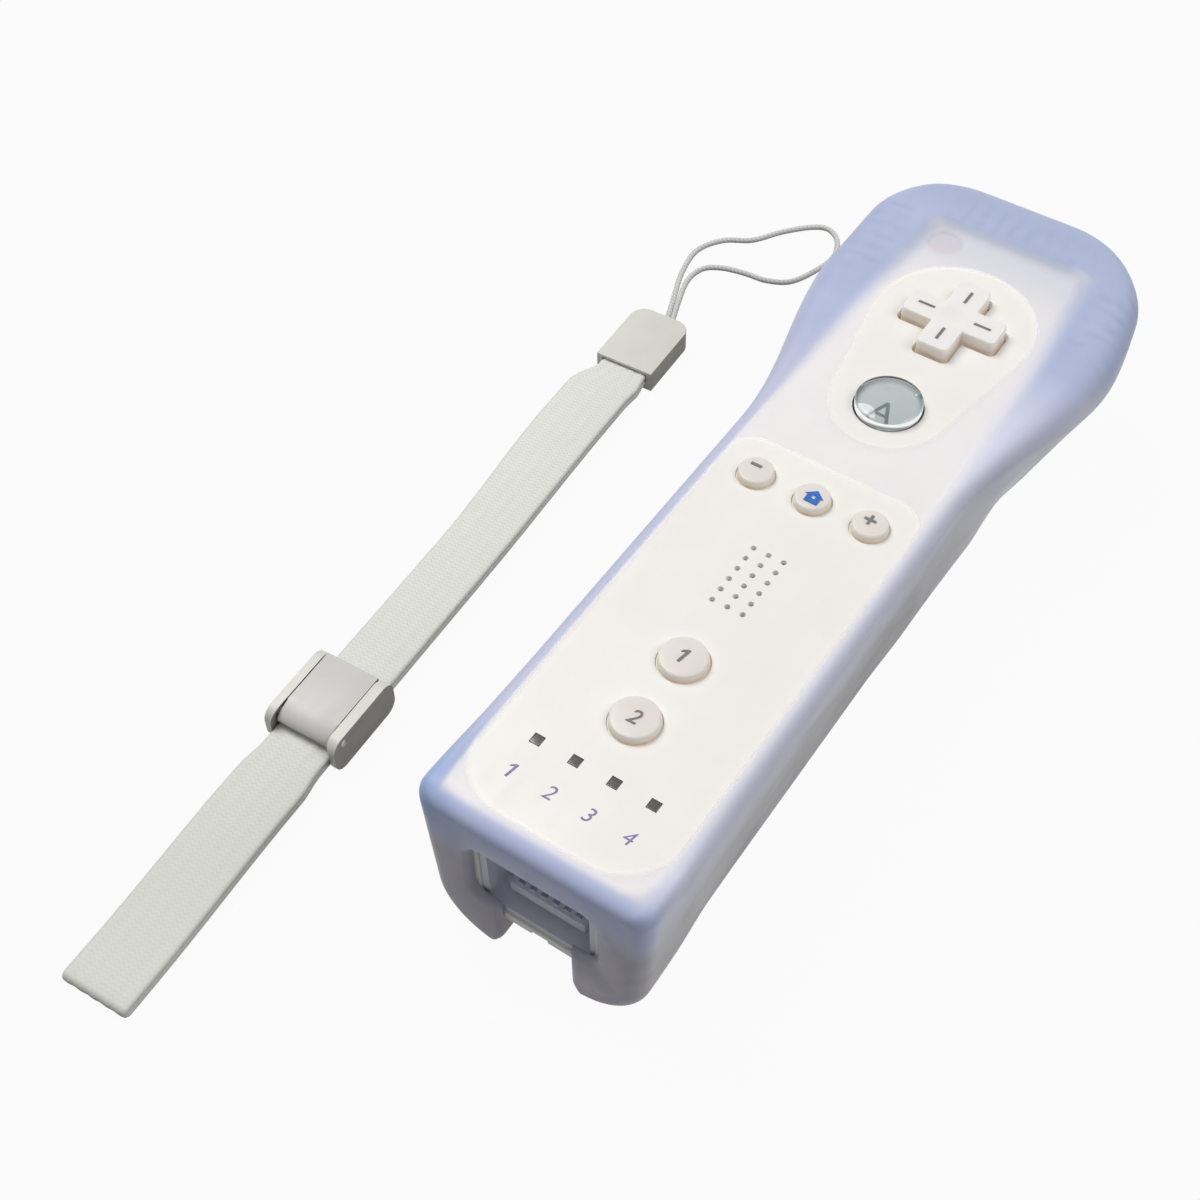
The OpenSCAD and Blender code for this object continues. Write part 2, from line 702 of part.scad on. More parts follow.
// torsion spring: closed coils on the pin with one leg forward under the board
module trigger_spring() {
  r = trig_pin_r + 0.75;
  turns = 4;
  p = concat(
    [[-2.9, trig_y + 1.2, trig_z + 3], [-2.9, trig_y + 0.6, trig_z + r + 0.3]],
    [for (i = [0:12 * turns]) let (a = 90 - 30 * i)
      [-2.8 + 5.6 * i / (12 * turns), trig_y + r * cos(a), trig_z + r * sin(a)]]
  );
  color([0.6, 0.6, 0.62]) tube([for (i = [2:len(p) - 1]) p[i]], 0.35, 6, [1, 0, 0]);
}

// electronics inside
module main_board() {
  color([0.12, 0.3, 0.2]) difference() {
    box(-14.4, 14.4, bay_y0 + 1, case_y1 - 4, board_z0, board_z1);
    boss_pair(screw_front_y, 0, face_z, 2.8);
    for (x = [-1, 1]) {
      rod(x * (half_w - 4.4), post_y, 0, face_z, 0.9);
    }
  }
}

module board_chips() {
  color([0.1, 0.1, 0.12]) {
    box(-9, 1, bay_y1 + 1.8, bay_y1 + 5, board_z0 - 1.2, board_z0);
    box(-7, 7, cam_y0 - 5, cam_y0 - 0.5, board_z0 - 1.4, board_z0);
    box(9, 13, ridge_y1 + 14, ridge_y1 + 18, board_z0 - 1.2, board_z0);
    box(-13, -10, ridge_y1 + 12, ridge_y1 + 18, board_z0 - 1, board_z0);
    rod(-8.8, cam_y0 - 2, board_z0 - 2.4, board_z0, 1.35);
  }
}

module motion_board() {
  color([0.1, 0.2, 0.35]) {
    box(-8, 8, ridge_y1 + 4, ridge_y1 + 22, board_z0 - 3, board_z0 - 2);
    box(-8, 8, ridge_y1 + 5, ridge_y1 + 7, board_z0 - 2.5, board_z0);
    box(-2.5, 2.5, ridge_y1 + 11, ridge_y1 + 16, board_z0 - 2.2, board_z0 - 1);
  }
}

module board_screws() {
  color([0.7, 0.7, 0.72]) {
    for (x = [-1, 1]) {
      rod(x * (half_w - 4.4), post_y, board_z0 - 5, board_z1 + 0.1, 0.75);
      rod(x * (half_w - 4.4), post_y, board_z1, board_z1 + 1, 1.5);
    }
  }
}

dome_z = flange_z - travel - gap;
power_travel = 0.6;
module pad_dome(x, y, z, r) {
  rod(x, y, board_z1, z, r);
}

module keypad() {
  color([0.55, 0.56, 0.58]) {
    pad_dome(-row_pitch, row_y, dome_z, 2.4);
    pad_dome(0, row_y, dome_z, 2.4);
    pad_dome(row_pitch, row_y, dome_z, 2.4);
    pad_dome(0, one_y, dome_z, 2.8);
    pad_dome(0, two_y, dome_z, 2.8);
    pad_dome(0, a_y, dome_z, 3.4);
    pad_dome(power_x, power_y, flange_z - power_travel - gap, 2);
    box(power_x - 2.4, power_x + 2.6, power_y - 2.4, power_y + 2.4, board_z1, board_z1 + 0.8);
    box(power_x + 0.4, power_x + 2.6, dpad_y + 9, power_y, board_z1, board_z1 + 0.8);
    box(-row_pitch - 3.4, row_pitch + 3.4, row_y - 3.4, row_y + 3.4, board_z1, board_z1 + 0.8);
    box(-4.2, 4.2, two_y - 4.2, one_y + 4.2, board_z1, board_z1 + 0.8);
    difference() {
      box(-10.5, 10.5, a_y - 5, dpad_y + 10.5, board_z1, board_z1 + 0.8);
      rod(0, dpad_y, board_z1 - 1, board_z1 + 2, 3.4);
    }
    box(-2, 2, row_y + 3, a_y - 4, board_z1, board_z1 + 0.8);
    for (a = [0:90:270]) {
      pad_dome(6.6 * cos(a), dpad_y + 6.6 * sin(a), flange_z - 1.1 - 1.1, 1.6);
    }
  }
}

module speaker() {
  color([0.3, 0.3, 0.32]) {
    rod(0, grille_y, under_z - 3.4, under_z - 0.1, 8);
    rod(0, grille_y, board_z1, under_z - 3, 5);
  }
}

motor_y = bay_y1 + 8.5;
motor_z = board_z0 - 2.8 - motor_d / 2;
module rumble_motor() {
  color([0.7, 0.7, 0.73]) {
    rod_x(-10, 3, motor_y, motor_z, motor_d / 2);
    rod_x(2.5, 9.4, motor_y, motor_z, 0.6);
    box(-8, 1, motor_y - 2.6, motor_y + 2.6, motor_z, board_z0);
  }
}

module rumble_weight() {
  color([0.5, 0.45, 0.4]) difference() {
    rod_x(4, 9, motor_y, motor_z, motor_d / 2 - 0.5);
    rod_x(3, 10, motor_y, motor_z, 0.6 + fit);
    box(3, 10, motor_y - 6, motor_y + 6, motor_z + 1.4, motor_z + 6);
  }
}

module ir_camera() {
  color([0.15, 0.15, 0.17]) {
    box(-4, 4, cam_y0, cam_y0 + 0.56 * cam_l, board_z0 - 8.4, board_z0);
    rod_y(0, cam_y0 + 0.5 * cam_l, case_y1 - 4, board_z0 - 4.2, 2.6);
  }
}

module dry_cells() {
  color([0.2, 0.35, 0.25]) {
    for (x = [-1, 1]) {
      rod_y(x * cell_x, cell_y0, cell_y1, cell_z, cell_d / 2);
      rod_y(x * cell_x, cell_y1 - 0.5, cell_y1 + 1, cell_z, 2.6);
    }
  }
}

module cell_springs() {
  color([0.75, 0.75, 0.72]) {
    for (x = [-1, 1]) {
      tube([for (i = [0:36]) [
        x * cell_x + (4.4 - i / 30) * cos(30 * i),
        bay_y0 + 0.45 + (cell_y0 - bay_y0 - 0.9) * i / 36,
        cell_z + (4.4 - i / 30) * sin(30 * i)
      ]], 0.4, 6, [0, 1, 0]);
    }
  }
}

module cell_contacts() {
  color([0.75, 0.75, 0.72]) {
    box(-cell_x - 4.5, cell_x + 4.5, cell_y1 + 1, cell_y1 + 1.5, cell_z - 3, cell_z + 3);
    box(cell_x - 2, cell_x + 2, cell_y1 + 1, bay_y1 - 0.05, cell_z - 1, cell_z + 1);
    box(-cell_x - 2, -cell_x + 2, cell_y1 + 1, bay_y1 - 0.05, cell_z - 1, cell_z + 1);
  }
}

module sync_button() {
  color([0.8, 0.2, 0.18]) {
    rod_y(0, bay_y1 - 1.4, bay_y1 + 1.6, sync_z, 1.5);
    rod_y(0, bay_y1 + 1.2 + slip, bay_y1 + 2.2, sync_z, 2.3);
  }
}

module case_screw(x, y, z) {
  rod(x, y, z, z + 1.6, 2.1);
  rod(x, y, z + 1.2, split_z + 5, screw_r);
}

module case_screws() {
  color([0.6, 0.6, 0.62]) {
    for (s = [-1, 1]) {
      case_screw(s * screw_x, screw_front_y, nose_z + 1.4);
      case_screw(s * screw_x, screw_rear_y, grip_z + 3.4);
    }
  }
}

// wrist strap, laid on the ground beside the controller
strap_at = [-57.8, case_y1 - 39, 0];
strap_turn = 2.6;
web_z = 1.4;
web_gap = 0.3;
web_clip_w = web_w - 1.6;
web_top = web_z + 2 * web_t + web_gap;

module on_strap() {
  translate(strap_at) rotate([0, 0, strap_turn]) children();
}

module web_side() {
  r = web_t + web_gap / 2;
  difference() {
    union() {
      translate([-web_l + r, web_z]) square([web_l - r + 6, 2 * r]);
      translate([-web_l + r, web_z + r]) circle(r);
    }
    translate([-web_l + r, web_z + web_t]) square([web_l - r + 8, web_gap]);
    translate([-web_l + r, web_z + r]) circle(web_gap / 2);
  }
}

module strap_webbing() {
  color([0.83, 0.84, 0.8]) on_strap() intersection() {
    translate([-10, 0, 0]) rotate([90, 0, 90]) linear_extrude(20) web_side();
    linear_extrude(20) polygon(mirrored([
      [web_clip_w / 2, 8], [web_clip_w / 2, -0.5], [web_w / 2, -5],
      [web_w / 2, -slider_d - slider_l / 2 - 2.6],
      [web_far_w / 2, -slider_d - slider_l / 2 - 8], [web_far_w / 2, -web_l - 2]
    ]));
  }
}

module strap_clip() {
  color([0.84, 0.83, 0.8]) on_strap() difference() {
    union() {
      box(-clip_w / 2, clip_w / 2, 0, clip_l - 3, 0, clip_t);
      box(-clip_w / 2 + 3, clip_w / 2 - 3, clip_l - 4, clip_l, 0, clip_t);
      rod(clip_w / 2 - 3, clip_l - 3, 0, clip_t, 3);
      rod(-clip_w / 2 + 3, clip_l - 3, 0, clip_t, 3);
    }
    box(-web_clip_w / 2 - 0.05, web_clip_w / 2 + 0.05, -1, 6.05, web_z - 0.05, web_top + 0.05);
    rod_y(0.1, clip_l - 4, clip_l + 1, cord_d / 2 + 0.3, cord_d + 0.45);
  }
}

cord_z = cord_d / 2 + 0.05;
function on_cord(x, y) = [x, y + case_y1 - 68.5, cord_z];
cord_pts = [
  on_cord(-59.05, 43.2), on_cord(-59.4, 46.6), on_cord(-61.9, 53.5), on_cord(-64.7, 61), on_cord(-65.8, 68.4),
  on_cord(-63, 74), on_cord(-58, 77.4), on_cord(-54.3, 82.8), on_cord(-50.2, 87.3), on_cord(-46.9, 88.9),
  on_cord(-43.6, 87), on_cord(-41.6, 82.4), on_cord(-42.2, 77.4), on_cord(-44.8, 71), on_cord(-49.1, 68.4),
  on_cord(-54.2, 67.8), on_cord(-58.9, 66.6), on_cord(-61.9, 64.2), on_cord(-62.5, 59.6), on_cord(-60.5, 53),
  on_cord(-58.1, 46.4), on_cord(-57.6, 43.2)
];

module strap_cord() {
  color([0.8, 0.8, 0.78]) tube(flow(cord_pts, 3), cord_d / 2, 8, [0, 0, 1]);
}

lever_r = 1.55;
slider_y = -slider_d;
lever_z = web_top + 0.35 + lever_r;
cheek_t = 1.1;
lever_w = slider_w - 2 * cheek_t - 0.6;

module slider_frame() {
  bar = slider_w / 2 - 0.5;
  color([0.83, 0.82, 0.8]) on_strap() translate([0, slider_y, 0]) difference() {
    union() {
      for (x = [-1, 1]) {
        translate([x * (slider_w - cheek_t) / 2 - cheek_t / 2, 0, slider_h / 2]) rotate([90, 0, 90])
          linear_extrude(cheek_t) round_plan(slider_l, slider_h, 2.4);
      }
      box(-bar, bar, -slider_l / 2 + 1.5, slider_l / 2 - 1.5, 0, web_z - 0.3);
      box(-bar, bar, slider_l / 2 - 3.4, slider_l / 2 - 1.6, web_top + 0.3, lever_z - 0.9);
    }
    rod_x(-slider_w, slider_w, -slider_l / 2 + 2.8, lever_z, slider_pin_r + 0.01);
  }
}

module slider_lever() {
  y0 = -slider_l / 2 + 2.8;
  color([0.84, 0.83, 0.82]) on_strap() translate([0, slider_y, 0]) difference() {
    union() {
      rod_x(-lever_w / 2, lever_w / 2, y0, lever_z, lever_r);
      box(-lever_w / 2, lever_w / 2, y0, slider_l / 2 - 0.8, lever_z - 0.6, lever_z + lever_r);
    }
    rod_x(-slider_w, slider_w, y0, lever_z, slider_pin_r + fit);
  }
}

module slider_pin() {
  color([0.7, 0.7, 0.7]) on_strap() translate([0, slider_y, 0]) {
    rod_x(-slider_w / 2 + 0.2, slider_w / 2 - 0.2, -slider_l / 2 + 2.8, lever_z, slider_pin_r);
  }
}

jacket();
upper_case();
lower_case();
battery_cover();
ir_window();
port_housing();
port_contacts();
dpad();
dpad_pivot();
a_button_cap();
a_button_base();
minus_button();
home_button();
plus_button();
one_button();
two_button();
power_button();
status_lights();
b_trigger();
trigger_pin();
trigger_spring();
main_board();
board_chips();
motion_board();
board_screws();
keypad();
speaker();
rumble_motor();
rumble_weight();
ir_camera();
dry_cells();
cell_springs();
cell_contacts();
sync_button();
case_screws();
strap_cord();
strap_clip();
strap_webbing();
slider_frame();
slider_lever();
slider_pin();
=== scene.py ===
import math

import bmesh
import bpy
from mathutils import Matrix, Vector


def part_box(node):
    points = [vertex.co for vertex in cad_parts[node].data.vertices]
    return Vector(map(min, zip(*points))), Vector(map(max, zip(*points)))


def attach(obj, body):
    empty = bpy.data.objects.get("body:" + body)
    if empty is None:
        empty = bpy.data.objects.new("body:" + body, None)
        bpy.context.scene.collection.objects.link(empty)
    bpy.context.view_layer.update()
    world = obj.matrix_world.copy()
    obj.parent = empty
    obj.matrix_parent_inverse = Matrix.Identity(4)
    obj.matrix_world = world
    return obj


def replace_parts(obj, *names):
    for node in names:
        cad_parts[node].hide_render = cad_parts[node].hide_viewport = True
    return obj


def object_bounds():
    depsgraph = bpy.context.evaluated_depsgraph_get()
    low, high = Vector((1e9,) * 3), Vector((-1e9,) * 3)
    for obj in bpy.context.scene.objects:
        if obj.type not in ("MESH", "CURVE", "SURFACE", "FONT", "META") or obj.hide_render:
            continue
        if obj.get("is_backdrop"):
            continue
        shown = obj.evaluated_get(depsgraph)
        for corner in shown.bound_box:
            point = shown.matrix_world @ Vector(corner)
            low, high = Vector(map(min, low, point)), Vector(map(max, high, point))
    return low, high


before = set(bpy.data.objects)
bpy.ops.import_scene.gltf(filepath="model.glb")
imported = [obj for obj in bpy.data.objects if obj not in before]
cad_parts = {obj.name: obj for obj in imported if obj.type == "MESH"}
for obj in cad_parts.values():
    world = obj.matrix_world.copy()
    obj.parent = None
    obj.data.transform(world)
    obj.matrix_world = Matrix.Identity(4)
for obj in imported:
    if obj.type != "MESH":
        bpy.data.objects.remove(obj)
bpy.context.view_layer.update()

# Studio: a white table in a pale room, with a large soft lamp high on the left and a weaker one on the right,
# so that the right flank and the rear end of the wand stay darker. The camera stands where the photograph was
# taken from.
scene = bpy.context.scene
scene.view_settings.view_transform = "Standard"


def srgb(red, green, blue):
    """A screen colour, 0 to 255, as the linear values that a material takes."""
    parts = [c / 255 for c in (red, green, blue)]
    return (*[c / 12.92 if c < 0.04 else ((c + 0.055) / 1.055) ** 2.4 for c in parts], 1.0)


def add(tree, kind, feeds=None, **settings):
    """A shader node with its settings made and its sockets filled or wired."""
    node = tree.nodes.new("ShaderNode" + kind)
    for key, value in settings.items():
        setattr(node, key, value)
    for key, value in (feeds or {}).items():
        if isinstance(value, bpy.types.NodeSocket):
            tree.links.new(value, node.inputs[key])
        else:
            node.inputs[key].default_value = value
    return node


def sums(tree, operation, a, b=0.0, c=0.0):
    """The result of one Math node."""
    return add(tree, "Math", {0: a, 1: b, 2: c}, operation=operation).outputs[0]


def times(tree, value, *others):
    """The product of some values."""
    for other in others:
        value = sums(tree, "MULTIPLY", value, other)
    return value


def seen_directly(tree):
    """1 for the rays that show the background itself: the camera's, and those off or through a surface."""
    rays = add(tree, "LightPath").outputs
    straight = sums(tree, "MAXIMUM", rays["Is Camera Ray"], rays["Is Glossy Ray"])
    return sums(tree, "MAXIMUM", straight, rays["Is Transmission Ray"])


room = bpy.data.worlds.new("pale_room")
room.use_nodes = True
room.node_tree.nodes.clear()
scene.world = room
tree = room.node_tree
light = add(tree, "Background", {"Color": (0.96, 0.97, 1.0, 1.0), "Strength": 0.18})
white = add(tree, "Background", {"Color": (1.0, 1.0, 1.0, 1.0), "Strength": 1.0})
both = add(tree, "MixShader", {0: seen_directly(tree), 1: light.outputs[0], 2: white.outputs[0]})
add(tree, "OutputWorld", {"Surface": both.outputs[0]})

paper = bpy.data.materials.new("table_paper")
paper.use_nodes = True
paper.node_tree.nodes.clear()
tree = paper.node_tree
matt = add(tree, "BsdfDiffuse", {"Color": (0.28, 0.28, 0.28, 1.0)})
glow = add(tree, "Emission", {"Color": (1.0, 1.0, 1.0, 1.0), "Strength": 1.0})
share = times(tree, seen_directly(tree), 0.95)
both = add(tree, "MixShader", {0: share, 1: matt.outputs[0], 2: glow.outputs[0]})
add(tree, "OutputMaterial", {"Surface": both.outputs[0]})

bm = bmesh.new()
bmesh.ops.create_grid(bm, x_segments=4, y_segments=4, size=2.5)
bmesh.ops.translate(bm, verts=bm.verts, vec=(0, 0, -0.00005))
mesh = bpy.data.meshes.new("table")
bm.to_mesh(mesh)
bm.free()
mesh.materials.append(paper)
table = bpy.data.objects.new("table", mesh)
scene.collection.objects.link(table)
table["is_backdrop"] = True


def soft_lamp(name, place, aim, watts, size):
    """A round area lamp, aimed at a point."""
    data = bpy.data.lights.new(name, "AREA")
    data.shape = "DISK"
    data.size = size
    data.energy = watts
    lamp = bpy.data.objects.new(name, data)
    lamp.location = place
    lamp.rotation_mode = "QUATERNION"
    lamp.rotation_quaternion = (Vector(aim) - Vector(place)).to_track_quat("-Z", "Y")
    scene.collection.objects.link(lamp)


soft_lamp("key_lamp", (-0.52, 0.10, 0.86), (0.0, 0.0, 0.02), 6.2, 0.6)
soft_lamp("fill_lamp", (0.75, 0.25, 0.95), (0.0, 0.0, 0.02), 5.2, 0.8)

camera_data = bpy.data.cameras.new("camera")
camera_data.sensor_width = 36.0
camera_data.lens = 53.387
camera_data.clip_start = 0.01
camera = bpy.data.objects.new("camera", camera_data)
axes = Matrix((
    (0.82776, -0.43107, 0.35914),
    (0.56090, 0.65193, -0.51026),
    (-0.01418, 0.62381, 0.78144),
))
camera.rotation_mode = "QUATERNION"
camera.rotation_quaternion = axes.to_quaternion()
camera.location = (0.07912, -0.17464, 0.24039)
scene.collection.objects.link(camera)
scene.camera = camera

# Wrist cord: a thin braided loop of grey polyester, both ends pressed into the strap's clip.
# It lies on the table in a long loop that crosses over nothing and comes back to the clip.
MM = 0.001
cord_d = 1.1
cord_z = 0.6
cord_route = [
    (-59.05, 43.2), (-59.4, 46.6), (-61.9, 53.5), (-64.7, 61.0), (-65.8, 68.4), (-63.0, 74.0),
    (-58.0, 77.4), (-54.3, 82.8), (-50.2, 87.3), (-46.9, 88.9), (-43.6, 87.0), (-41.6, 82.4),
    (-42.2, 77.4), (-44.8, 71.0), (-49.1, 68.4), (-54.2, 67.8), (-58.9, 66.6), (-61.9, 64.2),
    (-62.5, 59.6), (-60.5, 53.0), (-58.1, 46.4), (-57.6, 43.2),
]


def flow(points, steps):
    """A smooth line through the points, with so many steps from each to the next."""
    last = len(points) - 1
    line = []
    for i in range(last):
        a, b, c, d = (Vector(points[min(last, max(0, k))]) for k in (i - 1, i, i + 1, i + 2))
        for k in range(steps):
            t = k / steps
            curve = 2 * b + (c - a) * t + (2 * a - 5 * b + 4 * c - d) * t**2 + (3 * b - a - 3 * c + d) * t**3
            line.append(curve / 2)
    return line + [Vector(points[-1])]


def hoops(line, radius, count):
    """Rings of points round a line that lies flat."""
    rings = []
    for i, middle in enumerate(line):
        ahead = (line[min(i + 1, len(line) - 1)] - line[max(i - 1, 0)]).normalized()
        side = ahead.cross(Vector((0, 0, 1))).normalized()
        over = side.cross(ahead)
        turns = [math.tau * k / count for k in range(count)]
        rings.append([middle + radius * (math.cos(a) * side + math.sin(a) * over) for a in turns])
    return rings


def skin(rings, along=None):
    """A closed skin through rings in millimetres; its UV map runs once round, and along in metres."""
    n, m = len(rings[0]), len(rings)
    along = along or [j / m for j in range(m)]
    bm = bmesh.new()
    bmesh.ops.create_grid(bm, x_segments=n, y_segments=m - 1, size=1)
    bm.verts.ensure_lookup_table()
    bm.verts.index_update()
    for vert in bm.verts:
        j, i = divmod(vert.index, n + 1)
        vert.co = Vector(rings[j][i % n]) * MM
    uv = bm.loops.layers.uv.new("UVMap")
    for face in bm.faces:
        for loop in face.loops:
            j, i = divmod(loop.vert.index, n + 1)
            loop[uv].uv = (i / n, along[j])
    bmesh.ops.remove_doubles(bm, verts=bm.verts, dist=1e-7)
    bmesh.ops.holes_fill(bm, edges=[e for e in bm.edges if e.is_boundary])
    bmesh.ops.recalc_face_normals(bm, faces=bm.faces)
    return bm


def piece(name, bm, material, body, sharp=38):
    """A finished object from a bmesh, riding on its body."""
    mesh = bpy.data.meshes.new(name)
    bm.to_mesh(mesh)
    bm.free()
    mesh.materials.append(material)
    mesh.shade_smooth()
    mesh.set_sharp_from_angle(angle=math.radians(sharp))
    made = bpy.data.objects.new(name, mesh)
    scene.collection.objects.link(made)
    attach(made, body)
    return made


def new_group(name, inputs, outputs):
    """An empty shader group with number inputs and outputs."""
    group = bpy.data.node_groups.new(name, "ShaderNodeTree")
    for key, value in inputs.items():
        group.interface.new_socket(key, in_out="INPUT", socket_type="NodeSocketFloat").default_value = value
    for key in outputs:
        group.interface.new_socket(key, in_out="OUTPUT", socket_type="NodeSocketFloat")
    return group, group.nodes.new("NodeGroupInput").outputs, group.nodes.new("NodeGroupOutput").inputs


def place(tree, group, **values):
    """A group in a material, with its own values; returns its outputs."""
    node = tree.nodes.new("ShaderNodeGroup")
    node.node_tree = group
    for key, value in values.items():
        node.inputs[key.replace("_", " ")].default_value = value
    return node.outputs


def spread(tree, value, low, high, to_low=0.0, to_high=1.0):
    """A value mapped from one range to another and held inside it."""
    feeds = {"Value": value, "From Min": low, "From Max": high, "To Min": to_low, "To Max": to_high}
    return add(tree, "MapRange", feeds).outputs[0]


def blend(tree, share, first, second):
    """Two colours mixed by a share from 0 to 1."""
    node = tree.nodes.new("ShaderNodeMix")
    node.data_type = "RGBA"
    for index, value in ((0, share), (6, first), (7, second)):
        if isinstance(value, bpy.types.NodeSocket):
            tree.links.new(value, node.inputs[index])
        else:
            node.inputs[index].default_value = value
    return node.outputs[2]


def new_material(name, **sockets):
    """A material with its shader, whose plain sockets are set."""
    made = bpy.data.materials.new(name)
    made.use_nodes = True
    shader = made.node_tree.nodes["Principled BSDF"]
    for key, value in sockets.items():
        shader.inputs[key.replace("_", " ")].default_value = value
    return made, made.node_tree, shader.inputs


def bump(tree, height, distance):
    """A normal that follows a height, in metres."""
    return add(tree, "Bump", {"Height": height, "Distance": distance, "Strength": 1.0}).outputs[0]


def parts_of(tree, vector):
    """The three parts of a vector."""
    return add(tree, "SeparateXYZ", {0: vector}).outputs


def spot_on(tree):
    """The place on the object, in metres."""
    return add(tree, "TexCoord").outputs["Object"]


# diagonal threads that turn round in each column, as in a braid or a herringbone tape
woven, given, out = new_group(
    "slanted_threads", {"Columns": 4.0, "Rows": 1000.0, "Slant": 0.5}, ["Height", "Fuzz"])
tree = woven
uv = parts_of(tree, add(tree, "TexCoord").outputs["UV"])
across = times(tree, uv[0], given["Columns"])
share = sums(tree, "FRACT", across)
odd = sums(tree, "MODULO", sums(tree, "FLOOR", across), 2.0)
zigzag = sums(tree, "ABSOLUTE", sums(tree, "SUBTRACT", share, odd))
phase = sums(tree, "ADD", times(tree, uv[1], given["Rows"]), times(tree, zigzag, given["Slant"]))
thread = spread(tree, sums(tree, "SINE", times(tree, phase, math.tau)), -1.0, 1.0)
crown = times(tree, share, sums(tree, "SUBTRACT", 1.0, share), 4.0)
fuzz = add(tree, "TexNoise", {"Vector": spot_on(tree), "Scale": 5200.0, "Detail": 3.0})
tree.links.new(sums(tree, "ADD", times(tree, thread, 0.7), times(tree, crown, 0.3)), out["Height"])
tree.links.new(fuzz.outputs[0], out["Fuzz"])


def woven_cloth(name, pale, dark, columns, rows, slant, depth):
    """Woven polyester: a paler crown on each thread, some fuzz, and darker towards the hand's end."""
    made, tree, into = new_material(name, Roughness=0.86, Sheen_Weight=0.25, Sheen_Roughness=0.4)
    weave = place(tree, woven, Columns=columns, Rows=rows, Slant=slant)
    tone = blend(tree, spread(tree, weave["Height"], 0.05, 0.75), dark, pale)
    worn = blend(tree, spread(tree, weave["Fuzz"], 0.35, 0.75, 0.0, 0.3), tone, dark)
    # the tape turns darker towards the hand's end
    hand_end = spread(tree, parts_of(tree, spot_on(tree))[1], -0.03, -0.1, 0.0, 0.6)
    worn = blend(tree, hand_end, worn, dark)
    tree.links.new(worn, into["Base Color"])
    tree.links.new(bump(tree, weave["Height"], depth), into["Normal"])
    return made


def lengths(points):
    """How far along a line each of its points lies, in metres."""
    walked = [0.0]
    for before, after in zip(points, points[1:]):
        walked.append(walked[-1] + math.dist(before, after) * MM)
    return walked


cord_line = flow([(x, y, cord_z) for x, y in cord_route], 6)
walked = lengths(cord_line)
braid = woven_cloth("grey_braid", srgb(222, 222, 220), srgb(196, 195, 193), 6.0, 1150.0, 0.5, 0.00003)
cord_skin = skin(hoops(cord_line, cord_d / 2, 12), walked)
wrist_cord = piece("wrist_cord", cord_skin, braid, "controller", 60)
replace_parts(wrist_cord, "strap_cord")

# Webbing: one woven polyester tape, doubled on itself, its two ends sewn together inside the clip.
# It has five lengthwise ribs, is a little wider at the hand's end, and sags to the table there.
strap_turn = Matrix.Rotation(math.radians(2.6), 3, "Z")
strap_origin = Vector((-57.8, 29.5, 0.0))
tape_t = 1.0
tape_gap = 0.3
tape_low = 1.4
tape_clip_w, tape_w, tape_far_w = 9.6, 11.2, 12.4
tape_end = -151.0
pinched_at, wide_from = -0.5, -103.2
tape_ribs = 5
tape_bow, bow_wider, bow_from, bow_run = 1.15, 1.2, -54.0, 38.0
far_sag, far_from, far_run, mouth_sag = 1.32, -112.0, 32.0, 0.3


def ease(t):
    """A smooth step from 0 to 1."""
    t = min(1.0, max(0.0, t))
    return t * t * (3 - 2 * t)


def tape_line():
    """Middle line of the tape: out on top, round the fold and back below, with the way out of it."""
    turn = (tape_t + tape_gap) / 2
    mid_z = tape_low + tape_t + tape_gap / 2
    fold_y = tape_end + tape_t + tape_gap / 2
    steps = 104
    run = [6.0 + (fold_y - 6.0) * i / steps for i in range(steps + 1)]
    line = [(y, mid_z + turn, 0.0, 1.0) for y in run]
    for i in range(1, 10):
        a = math.pi / 2 + math.pi * i / 10
        line.append((fold_y + turn * math.cos(a), mid_z + turn * math.sin(a), math.cos(a), math.sin(a)))
    return line + [(y, mid_z - turn, 0.0, -1.0) for y in reversed(run)]


def tape_ring(y, z, out_y, out_z):
    """Section of the tape at a point of its middle line: ribbed faces and rounded edges."""
    w = tape_clip_w + (tape_w - tape_clip_w) * ease((pinched_at - y) / 4.5)
    w += (tape_far_w - tape_w) * ease((wide_from - y) / 5.4)
    swing = ease((pinched_at - 1 - y) / 7.0) * ease((y - bow_from) / bow_run)
    w += bow_wider * swing
    sag = far_sag * ease((far_from - y) / far_run) + mouth_sag * ease((1.0 - y) / 1.5) * ease((y + 6.0) / 4.0)
    count = 40
    front, rear = [], []
    for k in range(count + 1):
        x = -1 + 2 * k / count
        edge = math.sqrt(max(0.0, 1 - max(0.0, (abs(x) - 0.92) / 0.08) ** 2))
        rib = 0.5 - 0.5 * math.cos(math.tau * tape_ribs * (x + 1) / 2)
        h = (tape_t / 2) * (0.3 + 0.7 * edge) * (0.82 + 0.18 * rib)
        for side, row in ((1, front), (-1, rear)):
            local = Vector((x * w / 2 - tape_bow * swing, y + side * h * out_y, z + side * h * out_z - sag))
            row.append(strap_origin + strap_turn @ local)
    return front + rear[::-1]


tape_run = tape_line()
walked = lengths([p[:2] for p in tape_run])
tape_cloth = woven_cloth("pale_tape", srgb(235, 236, 228), srgb(220, 221, 213), 48.0, 1250.0, 0.5, 0.000018)
tape_skin = skin([tape_ring(*p) for p in tape_run], walked)
webbing = piece("webbing", tape_skin, tape_cloth, "controller", 70)
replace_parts(webbing, "strap_webbing")
